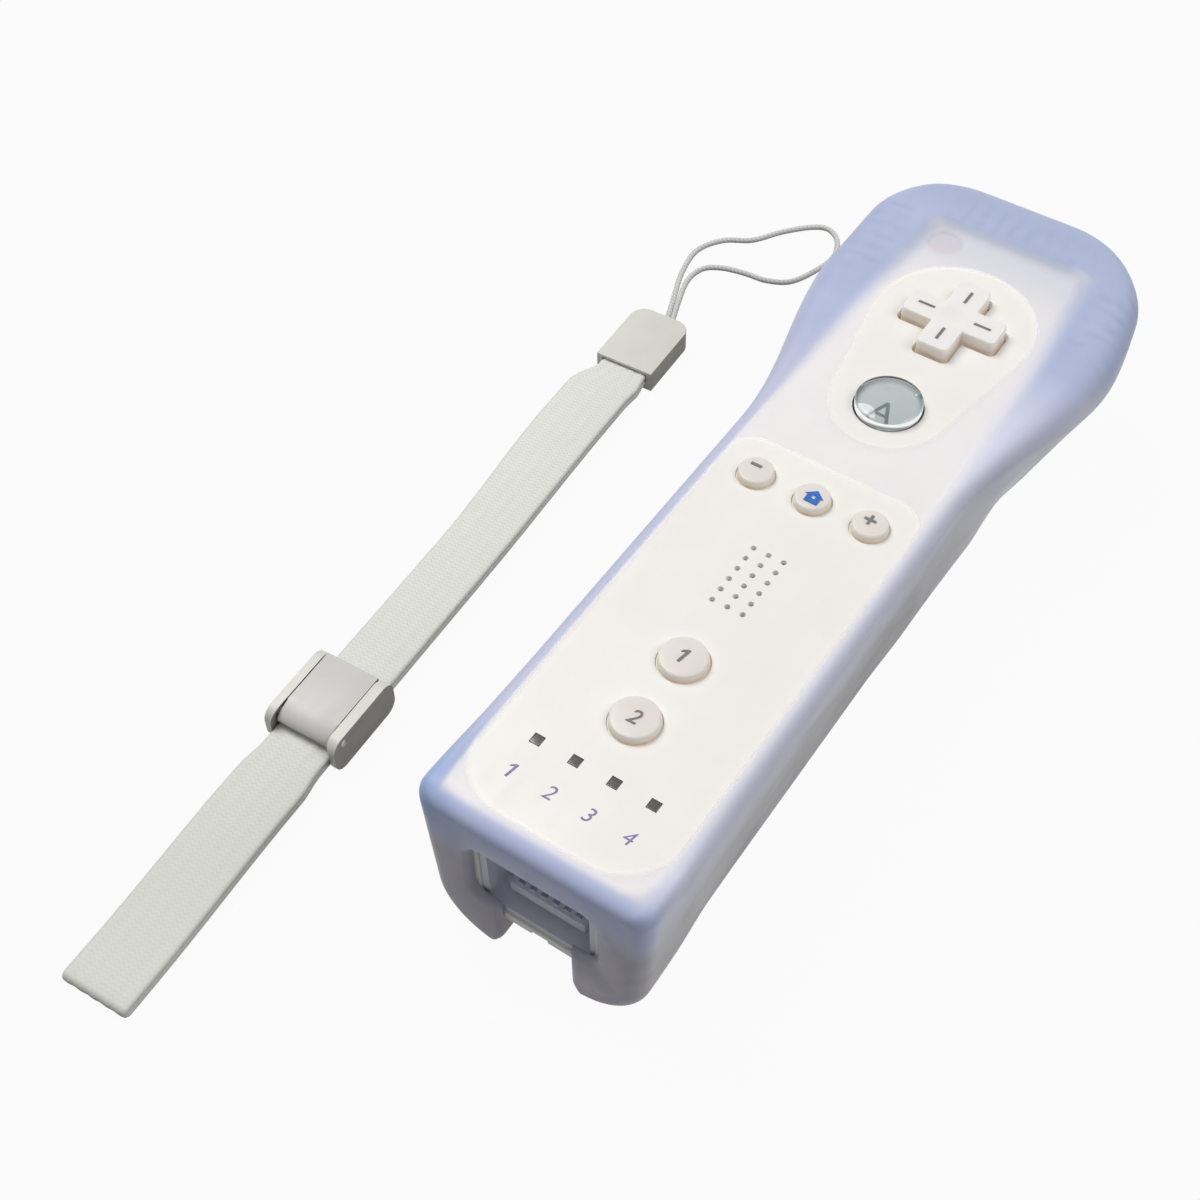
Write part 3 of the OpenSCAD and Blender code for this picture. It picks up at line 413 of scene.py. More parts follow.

# Clip: a moulded grey block, closed round the sewn tape ends at the rear and the cord's ends in front.
# Satin ABS with a fine spark-eroded grain; its sides are painted darker than its top, as painted shade.
grain, given, out = new_group("mould_grain", {"Pits": 7000.0, "Clouds": 90.0}, ["Height", "Cloud", "Smear"])
tree = grain
here = spot_on(tree)
pits = add(tree, "TexNoise", {"Vector": here, "Scale": given["Pits"], "Detail": 2.0, "Roughness": 0.55})
cloud = add(tree, "TexNoise", {"Vector": here, "Scale": given["Clouds"], "Detail": 4.0, "Roughness": 0.6})
long = add(tree, "Mapping", {"Vector": here, "Scale": (1.0, 0.25, 1.0)}).outputs[0]
smear = add(tree, "TexNoise", {"Vector": long, "Scale": 420.0, "Detail": 3.0, "Distortion": 0.6})
tree.links.new(pits.outputs[0], out["Height"])
tree.links.new(spread(tree, cloud.outputs[0], 0.32, 0.7), out["Cloud"])
tree.links.new(spread(tree, smear.outputs[0], 0.4, 0.75), out["Smear"])


def facing(tree):
    """The three parts of the way a surface faces."""
    return parts_of(tree, add(tree, "NewGeometry").outputs["Normal"])


def moulded(name, pale, dark, rough, depth=0.000012, side=None):
    """Moulded plastic: cloudy tone, fine pits, smears of handling in its gloss, and painted side shade if
    asked.
    """
    made, tree, into = new_material(name)
    surface = place(tree, grain)
    tone = blend(tree, surface["Cloud"], pale, dark)
    if side:
        # painted shade: faces that turn to either side take the darker side colour
        side_shade_share = sums(tree, "ABSOLUTE", facing(tree)[0])
        tone = blend(tree, spread(tree, side_shade_share, 0.55, 0.95), tone, side)
    tree.links.new(tone, into["Base Color"])
    tree.links.new(spread(tree, surface["Smear"], 0.0, 1.0, rough - 0.05, rough + 0.09), into["Roughness"])
    tree.links.new(bump(tree, surface["Height"], depth), into["Normal"])
    return made


def round_edges(bm, edge, segments, sharp):
    """Eases the edges that turn by more than an angle."""
    crisp = [e for e in bm.edges if e.is_manifold and e.calc_face_angle() > math.radians(sharp)]
    bmesh.ops.bevel(
        bm, geom=crisp, offset=edge * MM, offset_type="OFFSET", segments=segments, profile=0.5,
        affect="EDGES", clamp_overlap=True, material=-1)


def dressed(node, name, material, body, edge, segments=2, sharp=40):
    """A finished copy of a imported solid: triangles merged to whole faces, and crisp edges eased."""
    bm = bmesh.new()
    bm.from_mesh(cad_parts[node].data)
    bmesh.ops.remove_doubles(bm, verts=bm.verts, dist=5e-7)
    bmesh.ops.dissolve_limit(
        bm, angle_limit=math.radians(0.6), use_dissolve_boundaries=False, verts=bm.verts, edges=bm.edges)
    round_edges(bm, edge, segments, sharp)
    made = piece(name, bm, material, body, 50)
    flat = made.modifiers.new("flat_faces", "WEIGHTED_NORMAL")
    flat.keep_sharp = True
    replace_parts(made, node)
    return made


# the side colours of the clip and the slider are painted shade on their sides
strap_grey = moulded("strap_grey", srgb(222, 221, 212), srgb(215, 213, 204), 0.42, side=srgb(132, 130, 121))
dressed("strap_clip", "cord_clip", strap_grey, "controller", 0.3, 3)

# Slider: a grey frame that runs on the webbing, with a lever that turns on a steel pin between its cheeks
# and presses on the tape. Moulded like the clip; the pin is drawn wire, pressed into both cheeks.
slider_grey = moulded("slider_grey", srgb(211, 208, 205), srgb(205, 202, 199), 0.42, side=srgb(132, 129, 123))
cheek_edge = 0.3
cheeks = dressed("slider_frame", "slider_cheeks", strap_grey, "strap_slider", cheek_edge, 3)
slider_at = -92.6
pin_y, pin_z = -5.2, 5.6
flap_top, flap_under, flap_far = 7.15, 5.0, 7.2
roll_y, roll_z, roll_r, roll_from = -6.95, 5.0, 1.85, -2.8
flap_w, roll_w, flap_mid = 10.3, 10.1, -0.175
# the cheeks grow thicker towards their tops, up to the lever's two sides
cheek_top, cheek_from, cheek_in = 7.2, 4.4, 5.9
left_grows, right_grows = 0.47, 0.82
for vert in cheeks.data.vertices:
    x, y, z = strap_turn.inverted() @ (vert.co / MM - strap_origin)
    if abs(abs(x) - cheek_in - cheek_edge / 2) < cheek_edge and z > cheek_from:
        grown = (left_grows if x < 0 else -right_grows) * (z - cheek_from) / (cheek_top - cheek_from)
        vert.co += strap_turn @ Vector((grown, 0.0, 0.0)) * MM


def shell(name, *tools):
    """One object from closed tools, used for carving and then thrown away."""
    mesh = bpy.data.meshes.new(name)
    whole = bmesh.new()
    for rings in tools:
        bm = skin(rings)
        bm.to_mesh(mesh)
        bm.free()
        whole.from_mesh(mesh)
    whole.to_mesh(mesh)
    whole.free()
    made = bpy.data.objects.new(name, mesh)
    scene.collection.objects.link(made)
    return made


def carve(target, tool, operation="DIFFERENCE"):
    """Cuts a tool out of a piece, or keeps what they share, and throws the tool away."""
    cut = target.modifiers.new("cut", "BOOLEAN")
    cut.operation, cut.solver, cut.object = operation, "EXACT", tool
    carved = bpy.data.meshes.new_from_object(target.evaluated_get(bpy.context.evaluated_depsgraph_get()))
    target.modifiers.remove(cut)
    old, target.data = target.data, carved
    bpy.data.meshes.remove(old)
    old = tool.data
    bpy.data.objects.remove(tool)
    bpy.data.meshes.remove(old)


def on_slider(x, y, z):
    """A point of the slider, given from its own middle."""
    return strap_origin + strap_turn @ Vector((x, y + slider_at, z))


quarter = [math.pi / 2 * i / 12 for i in range(13)]
flap = [(flap_far, flap_under), (flap_far, flap_top)]
for a in quarter:
    flap.append((roll_from + (roll_y - roll_from) * math.sin(a), roll_z + (flap_top - roll_z) * math.cos(a)))
nose_start = math.atan2(roll_z - pin_z, roll_y - pin_y) + math.tau
nose_end, nose_steps = math.radians(290), 8
for i in range(1, nose_steps + 1):
    a = nose_start + (nose_end - nose_start) * i / nose_steps
    flap.append((pin_y + roll_r * math.cos(a), pin_z + roll_r * math.sin(a)))
flap.append((pin_y + 1.6, flap_under))
rows = []
for side in (-1, 1):
    half = [side * (flap_w if y > roll_from - 0.3 else roll_w) / 2 for y, z in flap]
    rows.append([on_slider(flap_mid + x, y, z) for x, (y, z) in zip(half, flap)])
slider_flap = piece("slider_flap", skin(rows), slider_grey, "slider_lever", 50)
bore_r, bore_reach = 0.73, 8.0
around = [math.tau * i / 32 for i in range(32)]
circle = [(pin_y + bore_r * math.cos(a), pin_z + bore_r * math.sin(a)) for a in around]
bore = [[on_slider(x, y, z) for y, z in circle] for x in (-bore_reach, bore_reach)]
carve(slider_flap, shell("bore", bore))
bm = bmesh.new()
bm.from_mesh(slider_flap.data)
bmesh.ops.remove_doubles(bm, verts=bm.verts, dist=1e-6)
round_edges(bm, 0.14, 2, 60)
bm.to_mesh(slider_flap.data)
bm.free()
slider_flap.data.shade_smooth()
slider_flap.data.set_sharp_from_angle(angle=math.radians(50))
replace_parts(slider_flap, "slider_lever")


def paint(material, *nodes):
    """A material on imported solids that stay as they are."""
    for node in nodes:
        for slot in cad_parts[node].material_slots:
            slot.material = material


drawn, given, out = new_group("drawn_metal", {"Lines": 2500.0}, ["Line", "Dull"])
tree = drawn
here = spot_on(tree)
thin = add(tree, "Mapping", {"Vector": here, "Scale": (0.08, 1.0, 1.0)}).outputs[0]
lines = add(tree, "TexNoise", {"Vector": thin, "Scale": given["Lines"], "Detail": 2.0})
dull = add(tree, "TexNoise", {"Vector": here, "Scale": 320.0, "Detail": 4.0})
tree.links.new(lines.outputs[0], out["Line"])
tree.links.new(spread(tree, dull.outputs[0], 0.35, 0.7), out["Dull"])


def metal(name, bright, dull, rough, lines=2500.0):
    """Drawn or stamped metal: fine lines, with duller patches of handling."""
    made, tree, into = new_material(name, Metallic=1.0)
    surface = place(tree, drawn, Lines=lines)
    tree.links.new(blend(tree, surface["Dull"], bright, dull), into["Base Color"])
    tree.links.new(spread(tree, surface["Dull"], 0.0, 1.0, rough, rough + 0.18), into["Roughness"])
    tree.links.new(bump(tree, surface["Line"], 0.000008), into["Normal"])
    return made


steel = metal("bright_steel", srgb(205, 206, 208), srgb(160, 160, 160), 0.24)
paint(steel, "slider_pin")

# Lower case: the rear half of the shell in ivory ABS, with the battery bay, the posts and the trigger's ears.
# Its sides lean in, and four screws from below draw it up against the upper case.
case_low, case_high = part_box("upper_case")
face_z = case_high[2] / MM
case_y0, case_y1 = case_low[1] / MM, case_high[1] / MM
half_w = case_high[0] / MM
ivory = moulded("ivory_case", srgb(247, 244, 239), srgb(244, 240, 234), 0.38)
paint(ivory, "lower_case", "battery_cover")

# Dry cells: two AA cells in a shrink sleeve with copper bands, between stamped contacts and wire
# springs. The metal parts are nickel-plated spring steel, pushed into grooves of the bay.
sleeve, tree, into = new_material("cell_sleeve", Roughness=0.28, Coat_Weight=0.3)
along = parts_of(tree, spot_on(tree))[1]
band = sums(tree, "GREATER_THAN", sums(tree, "SINE", times(tree, along, 210.0)), 0.35)
surface = place(tree, grain, Pits=900.0, Clouds=240.0)
black = blend(tree, surface["Cloud"], srgb(46, 46, 50), srgb(38, 38, 42))
tree.links.new(blend(tree, band, black, srgb(186, 128, 84)), into["Base Color"])
tree.links.new(bump(tree, surface["Height"], 0.00002), into["Normal"])
paint(sleeve, "dry_cells")
nickel = metal("nickel_plate", srgb(214, 211, 203), srgb(176, 172, 162), 0.22)
paint(nickel, "cell_springs", "cell_contacts", "trigger_spring", "trigger_pin", "dpad_pivot")

# Boards: glass-epoxy with green or blue resist and copper tracks showing through, with black chips and a
# rubber keypad. Two screws hold the main board to the lower case, and the keypad lies between the board and
# the upper case.
tracks, given, out = new_group("board_tracks", {"Pitch": 900.0}, ["Track"])
tree = tracks
here = spot_on(tree)
grid = add(tree, "TexBrick", {
    "Vector": here, "Scale": given["Pitch"], "Mortar Size": 0.09, "Mortar Smooth": 0.2,
    "Color1": (0, 0, 0, 1), "Color2": (0, 0, 0, 1), "Mortar": (1, 1, 1, 1)}, offset=0.37, squash=0.6)
patch = add(tree, "TexNoise", {"Vector": here, "Scale": 140.0, "Detail": 1.0})
shown = sums(tree, "GREATER_THAN", patch.outputs[0], 0.5)
tree.links.new(times(tree, grid.outputs["Fac"], shown), out["Track"])


def board(name, resist, copper):
    """A circuit board: resist over raised tracks."""
    made, tree, into = new_material(name, Roughness=0.35, Coat_Weight=0.4)
    track = place(tree, tracks, Pitch=260.0)["Track"]
    tree.links.new(blend(tree, track, resist, copper), into["Base Color"])
    tree.links.new(bump(tree, track, 0.00004), into["Normal"])
    return made


paint(board("green_board", srgb(30, 96, 62), srgb(74, 142, 84)), "main_board")
paint(board("blue_board", srgb(34, 62, 128), srgb(72, 104, 168)), "motion_board")
chip_resin = moulded("chip_resin", srgb(44, 44, 46), srgb(34, 34, 36), 0.6, 0.00003)
paint(chip_resin, "board_chips", "speaker", "ir_camera")
paint(moulded("keypad_rubber", srgb(196, 196, 192), srgb(182, 182, 178), 0.66, 0.00002), "keypad")
paint(steel, "board_screws", "case_screws", "rumble_motor")
paint(metal("sintered_weight", srgb(150, 148, 146), srgb(118, 116, 114), 0.42), "rumble_weight")
paint(moulded("sync_red", srgb(196, 52, 48), srgb(178, 42, 40), 0.4), "sync_button")

# Expansion socket: a pale moulded housing in the rear end, with tin-plated contacts on its tongue.
# The housing is glass-filled nylon, slid into the shell from behind before the halves are closed.
paint(moulded("socket_nylon", srgb(246, 247, 255), srgb(238, 239, 252), 0.5, 0.00003), "port_housing")
paint(metal("tin_plate", srgb(176, 176, 190), srgb(150, 150, 166), 0.4), "port_contacts")

# Upper case: the face plate in the same ivory ABS, moulded in one with its side walls, with round holes for
# the buttons, a cross for the direction pad, a grille for the speaker and four square holes for the lights.
# The lights' windows and the camera's are smoked acrylic, pressed in from inside.


def even_finish(name, pale, dark, depth, pits, clouds, **sockets):
    """A surface of one even gloss, with a cloudy tone and fine pits."""
    made, tree, into = new_material(name, **sockets)
    surface = place(tree, grain, Pits=pits, Clouds=clouds)
    tree.links.new(blend(tree, surface["Cloud"], pale, dark), into["Base Color"])
    tree.links.new(bump(tree, surface["Height"], depth), into["Normal"])
    return made


dressed("upper_case", "face_shell", ivory, "controller", 0.1)
smoked = even_finish(
    "smoked_lens", srgb(74, 68, 66), srgb(60, 55, 54), 0.000006, 5200.0, 300.0,
    Roughness=0.16, Coat_Weight=0.5)
dressed("status_lights", "light_windows", smoked, "controller", 0.12)
black_lens = even_finish(
    "camera_lens", srgb(34, 28, 32), srgb(26, 21, 25), 0.000004, 3000.0, 200.0,
    Roughness=0.08, Coat_Weight=0.6)
dressed("ir_window", "camera_window", black_lens, "controller", 0.2)

# Trigger: a hooked wedge of ivory ABS under the case, hung on a steel pin and pushed out by a torsion spring.
# Its finger side is polished a little by use.
ivory_worn = moulded("ivory_trigger", srgb(238, 233, 225), srgb(230, 224, 214), 0.3)
dressed("b_trigger", "finger_trigger", ivory_worn, "b_trigger", 0.3, 3)

# Push buttons: turned-over caps of white ABS. Their walls are painted beige as shade, and a faint painted
# glow on the walls stands for light coming through from the side.
# Each is caught by a flange under the face plate and sprung by its rubber dome.
cap_white, tree, into = new_material(
    "cap_white", Subsurface_Weight=0.4, Subsurface_Radius=(0.003, 0.0025, 0.002), Subsurface_Scale=0.5)
surface = place(tree, grain, Pits=7000.0, Clouds=120.0)
level = parts_of(tree, spot_on(tree))[2]
top = spread(tree, level, (face_z + 0.1) * MM, (face_z + 1.0) * MM)
# painted shade: the beige of the walls below the crown
wall = blend(tree, surface["Cloud"], srgb(240, 228, 212), srgb(233, 220, 203))
crown = blend(tree, surface["Cloud"], srgb(236, 230, 223), srgb(231, 224, 217))
# painted light: the direction pad's crown, standing higher than the caps', is made paler
pad_painted_light = spread(tree, level, (face_z + 1.5) * MM, (face_z + 2.2) * MM)
crown = blend(tree, pad_painted_light, crown, srgb(245, 242, 238))
tree.links.new(blend(tree, top, wall, crown), into["Base Color"])
# painted glow: a faint beige light from the walls near and under the face and from upright faces
painted_glow_share = spread(tree, level, (face_z + 0.3) * MM, (face_z - 0.1) * MM)
upright_glow_share = spread(tree, facing(tree)[2], 0.6, 0.1, 0.0, 0.7)
painted_glow_share = sums(tree, "MAXIMUM", painted_glow_share, upright_glow_share)
tree.links.new(blend(tree, painted_glow_share, srgb(0, 0, 0), srgb(200, 188, 176)), into["Emission Color"])
into["Emission Strength"].default_value = 0.16
tree.links.new(spread(tree, surface["Smear"], 0.0, 1.0, 0.3, 0.42), into["Roughness"])
tree.links.new(bump(tree, surface["Height"], 0.00001), into["Normal"])
flange_z, flange_t, cap_h, cap_edge = face_z - 3.05, 1.0, 1.3, 0.5


def turned(name, outline, x, y, material, body):
    """A round piece from its half outline, spun about an upright line."""
    bm = bmesh.new()
    line = [bm.verts.new(((x + r) * MM, y * MM, z * MM)) for r, z in outline]
    for a, b, p, q in zip(line, line[1:], outline, outline[1:]):
        if p[0] > 0 or q[0] > 0:
            bm.edges.new((a, b))
    bmesh.ops.spin(
        bm, geom=bm.verts[:] + bm.edges[:], cent=(x * MM, y * MM, 0), axis=(0, 0, 1),
        angle=math.tau, steps=56, use_merge=True)
    bmesh.ops.remove_doubles(bm, verts=bm.verts, dist=1e-7)
    bmesh.ops.recalc_face_normals(bm, faces=bm.faces)
    return piece(name, bm, material, body)


def cap_outline(r):
    """Flange, a shelf under the face that closes the gap, a leaning wall, a rounded edge and a low crown."""
    edge = [math.pi / 2 * i / 6 for i in range(7)]
    foot = [(0.0, flange_z), (r + 1, flange_z), (r + 1, flange_z + flange_t), (r + 0.2, flange_z + flange_t)]
    shelf = [(r + 0.2, face_z - 0.26), (r + 0.12, face_z - 0.2), (r + 0.04, face_z - 0.2)]
    top_r, top_z = r - cap_edge, face_z + cap_h - cap_edge
    brow = [(top_r + cap_edge * math.cos(a), top_z + cap_edge * math.sin(a)) for a in edge]
    crown = [(top_r * k, face_z + cap_h + 0.1 * (1 - k * k)) for k in (0.8, 0.55, 0.3, 0.0)]
    return foot + shelf + brow + crown


for key, wide in (("minus", 5.9), ("home", 5.9), ("plus", 5.9), ("one", 7.7), ("two", 7.7)):
    low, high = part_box(f"{key}_button")
    x, y = (low[0] + high[0]) / 2 / MM, (low[1] + high[1]) / 2 / MM
    cap = turned(f"{key}_cap", cap_outline(wide / 2), x, y, cap_white, f"{key}_button")
    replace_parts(cap, f"{key}_button")
rose = moulded("power_rose", srgb(234, 206, 207), srgb(228, 199, 201), 0.4)
dressed("power_button", "power_cap", rose, "power_button", 0.12, 2, 60)

# Direction pad: a white cross with a dished middle, rocking on a steel ball under its centre.
# The same ABS as the caps, with their painted wall shade and glow and a paler painted crown, and short dark
# dashes printed on its four arms.
cross = dressed("dpad", "direction_cross", cap_white, "dpad", 0.45, 4)
dpad_y, pad_h, pad_draft = 43.695, 2.4, 0.2
for vert in cross.data.vertices:
    x, y, z = vert.co.x / MM, vert.co.y / MM - dpad_y, vert.co.z / MM - face_z
    outer = z > -2.3 and max(abs(x), abs(y)) > 2.4
    lean = pad_draft * min(1.0, max(0.0, 1 - z / pad_h)) * MM if outer else 0.0
    vert.co += Vector((math.copysign(lean, x), math.copysign(lean, y), 0.0))

# Large button: a clear acrylic cap with a domed top, over a grey-green plate that moves with it.
# The plate carries the printed letter, which is seen through the cap.
clear, tree, into = new_material("clear_acrylic", Transmission_Weight=1.0, IOR=1.46, Metallic=0.0)
surface = place(tree, grain, Pits=2400.0, Clouds=300.0)
tree.links.new(blend(tree, surface["Cloud"], srgb(248, 250, 250), srgb(243, 246, 246)), into["Base Color"])
tree.links.new(spread(tree, surface["Smear"], 0.0, 1.0, 0.02, 0.06), into["Roughness"])
a_y, a_r, plate_r, plate_z = 20.9, 5.6, 5.48, face_z - 0.1
dome_from, dome_to = face_z + 1.5, face_z + 2.4
wall_r, seat_z, flange_top = plate_r + 0.05, plate_z + 0.02, flange_z + flange_t
dome_steps = (0.93, 0.86, 0.76, 0.64, 0.5, 0.34, 0.17, 0.0)
outline = [(wall_r, flange_z), (a_r + 1, flange_z), (a_r + 1, flange_top), (a_r, flange_top)]
outline += [(a_r, dome_from - 0.2), (a_r - 0.06, dome_from - 0.05), (a_r - 0.2, dome_from + 0.06)]
outline += [(a_r * k, dome_from + (dome_to - dome_from) * (1 - k * k)) for k in dome_steps]
outline += [(0.0, seat_z), (plate_r - 0.1, seat_z), (wall_r, plate_z - 0.08), (wall_r, flange_z)]
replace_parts(turned("clear_cap", outline, 0.0, a_y, clear, "a_button"), "a_button_cap")
plate_grey, tree, into = new_material("plate_grey", Roughness=0.4)
# the far rim of the plate lies in the shade of the cap's edge
shade_x, shade_y = 0.4, a_y - 0.6
shade_at = (-shade_x * MM, -shade_y * MM, 0.0)
spot = parts_of(tree, add(tree, "Mapping", {"Vector": spot_on(tree), "Location": shade_at}).outputs[0])
reach = sums(tree, "SQRT", sums(tree, "ADD", times(tree, spot[0], spot[0]), times(tree, spot[1], spot[1])))
far_rim = spread(tree, reach, 0.0045, 0.0056)
surface = place(tree, grain, Pits=4000.0, Clouds=200.0)
grey = blend(tree, surface["Cloud"], srgb(182, 189, 189), srgb(175, 182, 183))
tree.links.new(blend(tree, far_rim, grey, srgb(112, 120, 126)), into["Base Color"])
tree.links.new(bump(tree, surface["Height"], 0.00001), into["Normal"])
foot_z = flange_z + 0.02
outline = [(0.0, foot_z), (plate_r, foot_z), (plate_r, plate_z - 0.15)]
outline += [(plate_r - 0.12, plate_z), (0.0, plate_z)]
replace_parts(turned("letter_plate", outline, 0.0, a_y, plate_grey, "a_button"), "a_button_base")

# Printed marks: pad-printed ink on the caps, the plate and the face, at most about a tenth of a millimetre
# high. They are plain signs: a minus, a plus, a small house, a letter, numbers and dashes.


def ink(name, colour, speck):
    """Printing ink with paler specks."""
    return even_finish(name, colour, speck, 0.000006, 16000.0, 900.0, Roughness=0.55)


dark_ink = ink("dark_ink", srgb(112, 106, 106), srgb(126, 120, 119))
blue_ink = ink("blue_ink", srgb(22, 94, 180), srgb(40, 108, 190))
violet_ink = ink("violet_ink", srgb(122, 116, 160), srgb(138, 132, 172))


def plate(bm, corners, low, high):
    """A thin flat plate through corner points, added to a bmesh."""
    face = bm.faces.new([bm.verts.new((x * MM, y * MM, low * MM)) for x, y in corners])
    if face.normal.z > 0 or face.calc_area() == 0:
        face.normal_flip()
    face.normal_update()
    grown = bmesh.ops.extrude_face_region(bm, geom=[face])["geom"]
    lift = [v for v in grown if isinstance(v, bmesh.types.BMVert)]
    bmesh.ops.translate(bm, verts=lift, vec=(0, 0, (high - low) * MM))


def bar(x, y, width, length):
    """Corners of a bar about a middle point."""
    w, h = width / 2, length / 2
    return [(x - w, y - h), (x + w, y - h), (x + w, y + h), (x - w, y + h)]


def marks(name, outlines, low, high, material, body):
    """Thin raised ink in the shape of some outlines."""
    bm = bmesh.new()
    for corners in outlines:
        plate(bm, corners, low, high)
    bmesh.ops.recalc_face_normals(bm, faces=bm.faces)
    return piece(name, bm, material, body)


def figures(name, words, size, low, high, slant, material, body):
    """Characters of the built-in face, each about its own middle point, as thin raised ink."""
    bm = bmesh.new()
    for sign, x, y in words:
        text = bpy.data.curves.new("ink", "FONT")
        text.body = sign
        text.size = size * MM
        text.shear = slant
        text.align_x, text.align_y = "CENTER", "CENTER"
        text.extrude = (high - low) / 2 * MM
        holder = bpy.data.objects.new("ink", text)
        scene.collection.objects.link(holder)
        flat = bpy.data.meshes.new_from_object(holder.evaluated_get(bpy.context.evaluated_depsgraph_get()))
        across, along = [c[0] for c in holder.bound_box], [c[1] for c in holder.bound_box]
        mid_x, mid_y = ((min(part) + max(part)) / 2 for part in (across, along))
        flat.transform(Matrix.Translation((x * MM - mid_x, y * MM - mid_y, (high + low) / 2 * MM)))
        bm.from_mesh(flat)
        bpy.data.objects.remove(holder)
        bpy.data.meshes.remove(flat)
        bpy.data.curves.remove(text)
    bmesh.ops.remove_doubles(bm, verts=bm.verts, dist=1e-7)
    bmesh.ops.recalc_face_normals(bm, faces=bm.faces)
    return piece(name, bm, material, body)


row_y, row_pitch, one_y, two_y = -4.09, 10.2, -41.49, -54.30
cap_top = face_z + cap_h + 0.08
ink_low, ink_high = cap_top - 0.02, cap_top + 0.12


def cap_marks(name, outlines, colour, body):
    """Marks on the crown of a white cap."""
    return marks(name, outlines, ink_low, ink_high, colour, body)


cap_marks("minus_mark", [bar(-row_pitch - 0.4, row_y + 0.75, 1.9, 0.5)], dark_ink, "minus_button")
plus_x, plus_y = row_pitch - 0.25, row_y + 0.45
plus = [bar(plus_x, plus_y, 2.0, 0.46)] + [bar(plus_x, plus_y + up * 0.63, 0.46, 0.8) for up in (1, -1)]
cap_marks("plus_mark", plus, dark_ink, "plus_button")
half_house = [
    (0.0, 1.5), (0.0, 0.3), (0.3, 0.3), (0.3, -0.35), (0.0, -0.35), (0.0, -1.25), (1.15, -1.25),
    (1.15, 0.2), (1.6, 0.2)]
house = [[(side * x + 0.35, y + row_y - 0.3) for x, y in half_house] for side in (1, -1)]
cap_marks("house_mark", house, blue_ink, "home_button")


def figure_one(at_x, at_y, height):
    """A slanted figure one with a flag, as two outlines."""
    stem = [(-0.16, -0.5), (0.01, -0.5), (0.2, 0.5), (0.03, 0.5)]
    flag = [(0.03, 0.5), (-0.01, 0.31), (-0.28, 0.16), (-0.24, 0.33)]
    return [[(at_x + x * height, at_y + y * height) for x, y in part] for part in (stem, flag)]


cap_marks("one_mark", figure_one(0.0, one_y, 2.6), dark_ink, "one_button")
figures("two_mark", [("2", 0.0, two_y)], 3.6, ink_low, ink_high, 0.2, dark_ink, "two_button")
pad_top = face_z + pad_h
dash_at, dash_l, dash_w = 5.2, 3.1, 0.55
dashes = [bar(0, dpad_y + way * dash_at, dash_w, dash_l) for way in (1, -1)]
dashes += [bar(way * dash_at, dpad_y, dash_l, dash_w) for way in (1, -1)]
marks("dash_marks", dashes, pad_top - 0.05, pad_top + 0.03, dark_ink, "dpad")
plate_ink = ink("plate_ink", srgb(84, 96, 98), srgb(96, 108, 110))
figures(
    "letter_mark", [("A", 0.1, a_y - 2.3)], 6.4, plate_z - 0.04, plate_z + 0.015, 0.0,
    plate_ink, "a_button")
light_pitch, number_y = 6.55, -70.6
low, high = face_z - 0.02, face_z + 0.02
first = figure_one(-1.5 * light_pitch, number_y, 2.5)
marks("first_number", first, low, high, violet_ink, "controller")
numbers = [(str(i + 1), (i - 1.5) * light_pitch, number_y) for i in (1, 2, 3)]
figures("light_numbers", numbers, 3.4, low, high, 0.2, violet_ink, "controller")

# Jacket: one piece of translucent silicone, moulded over a core and stretched over the wand.
# A thick flared bumper in front, a thin film over the face with two windows, and two feet at the rear.
front_y, rear_y = 81.0, -81.0
side_t, flare, swell, draft, belly_t = 1.3, 8.3, 0.35, 2.0, 1.4
front_turn, rear_tuck, plan_power = 17.3, 2.9, 2.07
waist_in, front_lay, lay_run = 0.85, -2.1, 31.0
flare_run, low_flare, foot_run, arch_h = 45.2, 3.57, 30.0, 1.2
front_pinch, pinch_run = 0.098, 37.6
film_t, rim_h = 0.6, 0.85
ridge_y0, ridge_y1, nose_y = 2.0, 10.0, 42.0
case_z, grip_z, nose_z, split_z = 1.4, 4.4, 10.5, 23.2
core_gap, film_under = 0.05, face_z + 0.03


def lip(t):
    """A quarter of a rounded end: 0 away from the end and 1 on it."""
    t = min(1.0, max(0.0, t))
    return 1 - math.sqrt(1 - t * t)


def arc(cx, cz, r, a0, a1, n):
    """Points on an arc from one angle to another, in degrees."""
    turns = [math.radians(a0 + (a1 - a0) * i / n) for i in range(n + 1)]
    return [(cx + r * math.cos(a), cz + r * math.sin(a)) for a in turns]


def between(p, q, n):
    """Points on the way from one point to another, without its ends."""
    return [(p[0] + (q[0] - p[0]) * i / n, p[1] + (q[1] - p[1]) * i / n) for i in range(1, n)]


def rim_half(y):
    """Half the width between the rims, which closes in at both ends."""
    return half_w + 0.1 - 1.8 * ease((y - nose_y + 10) / 30) - 0.7 * ease((case_y0 + 14 - y) / 14)


def inside_rim(x, y):
    """How far a point of the top lies inside the rim, in plan."""
    corner = 6.0
    dx = rim_half(y) - abs(x)
    dy = min(y - case_y0 - 0.4, case_y1 - 1.2 - y)
    if dx < corner and dy < corner:
        return corner - math.hypot(corner - dx, corner - dy)
    return min(dx, dy)


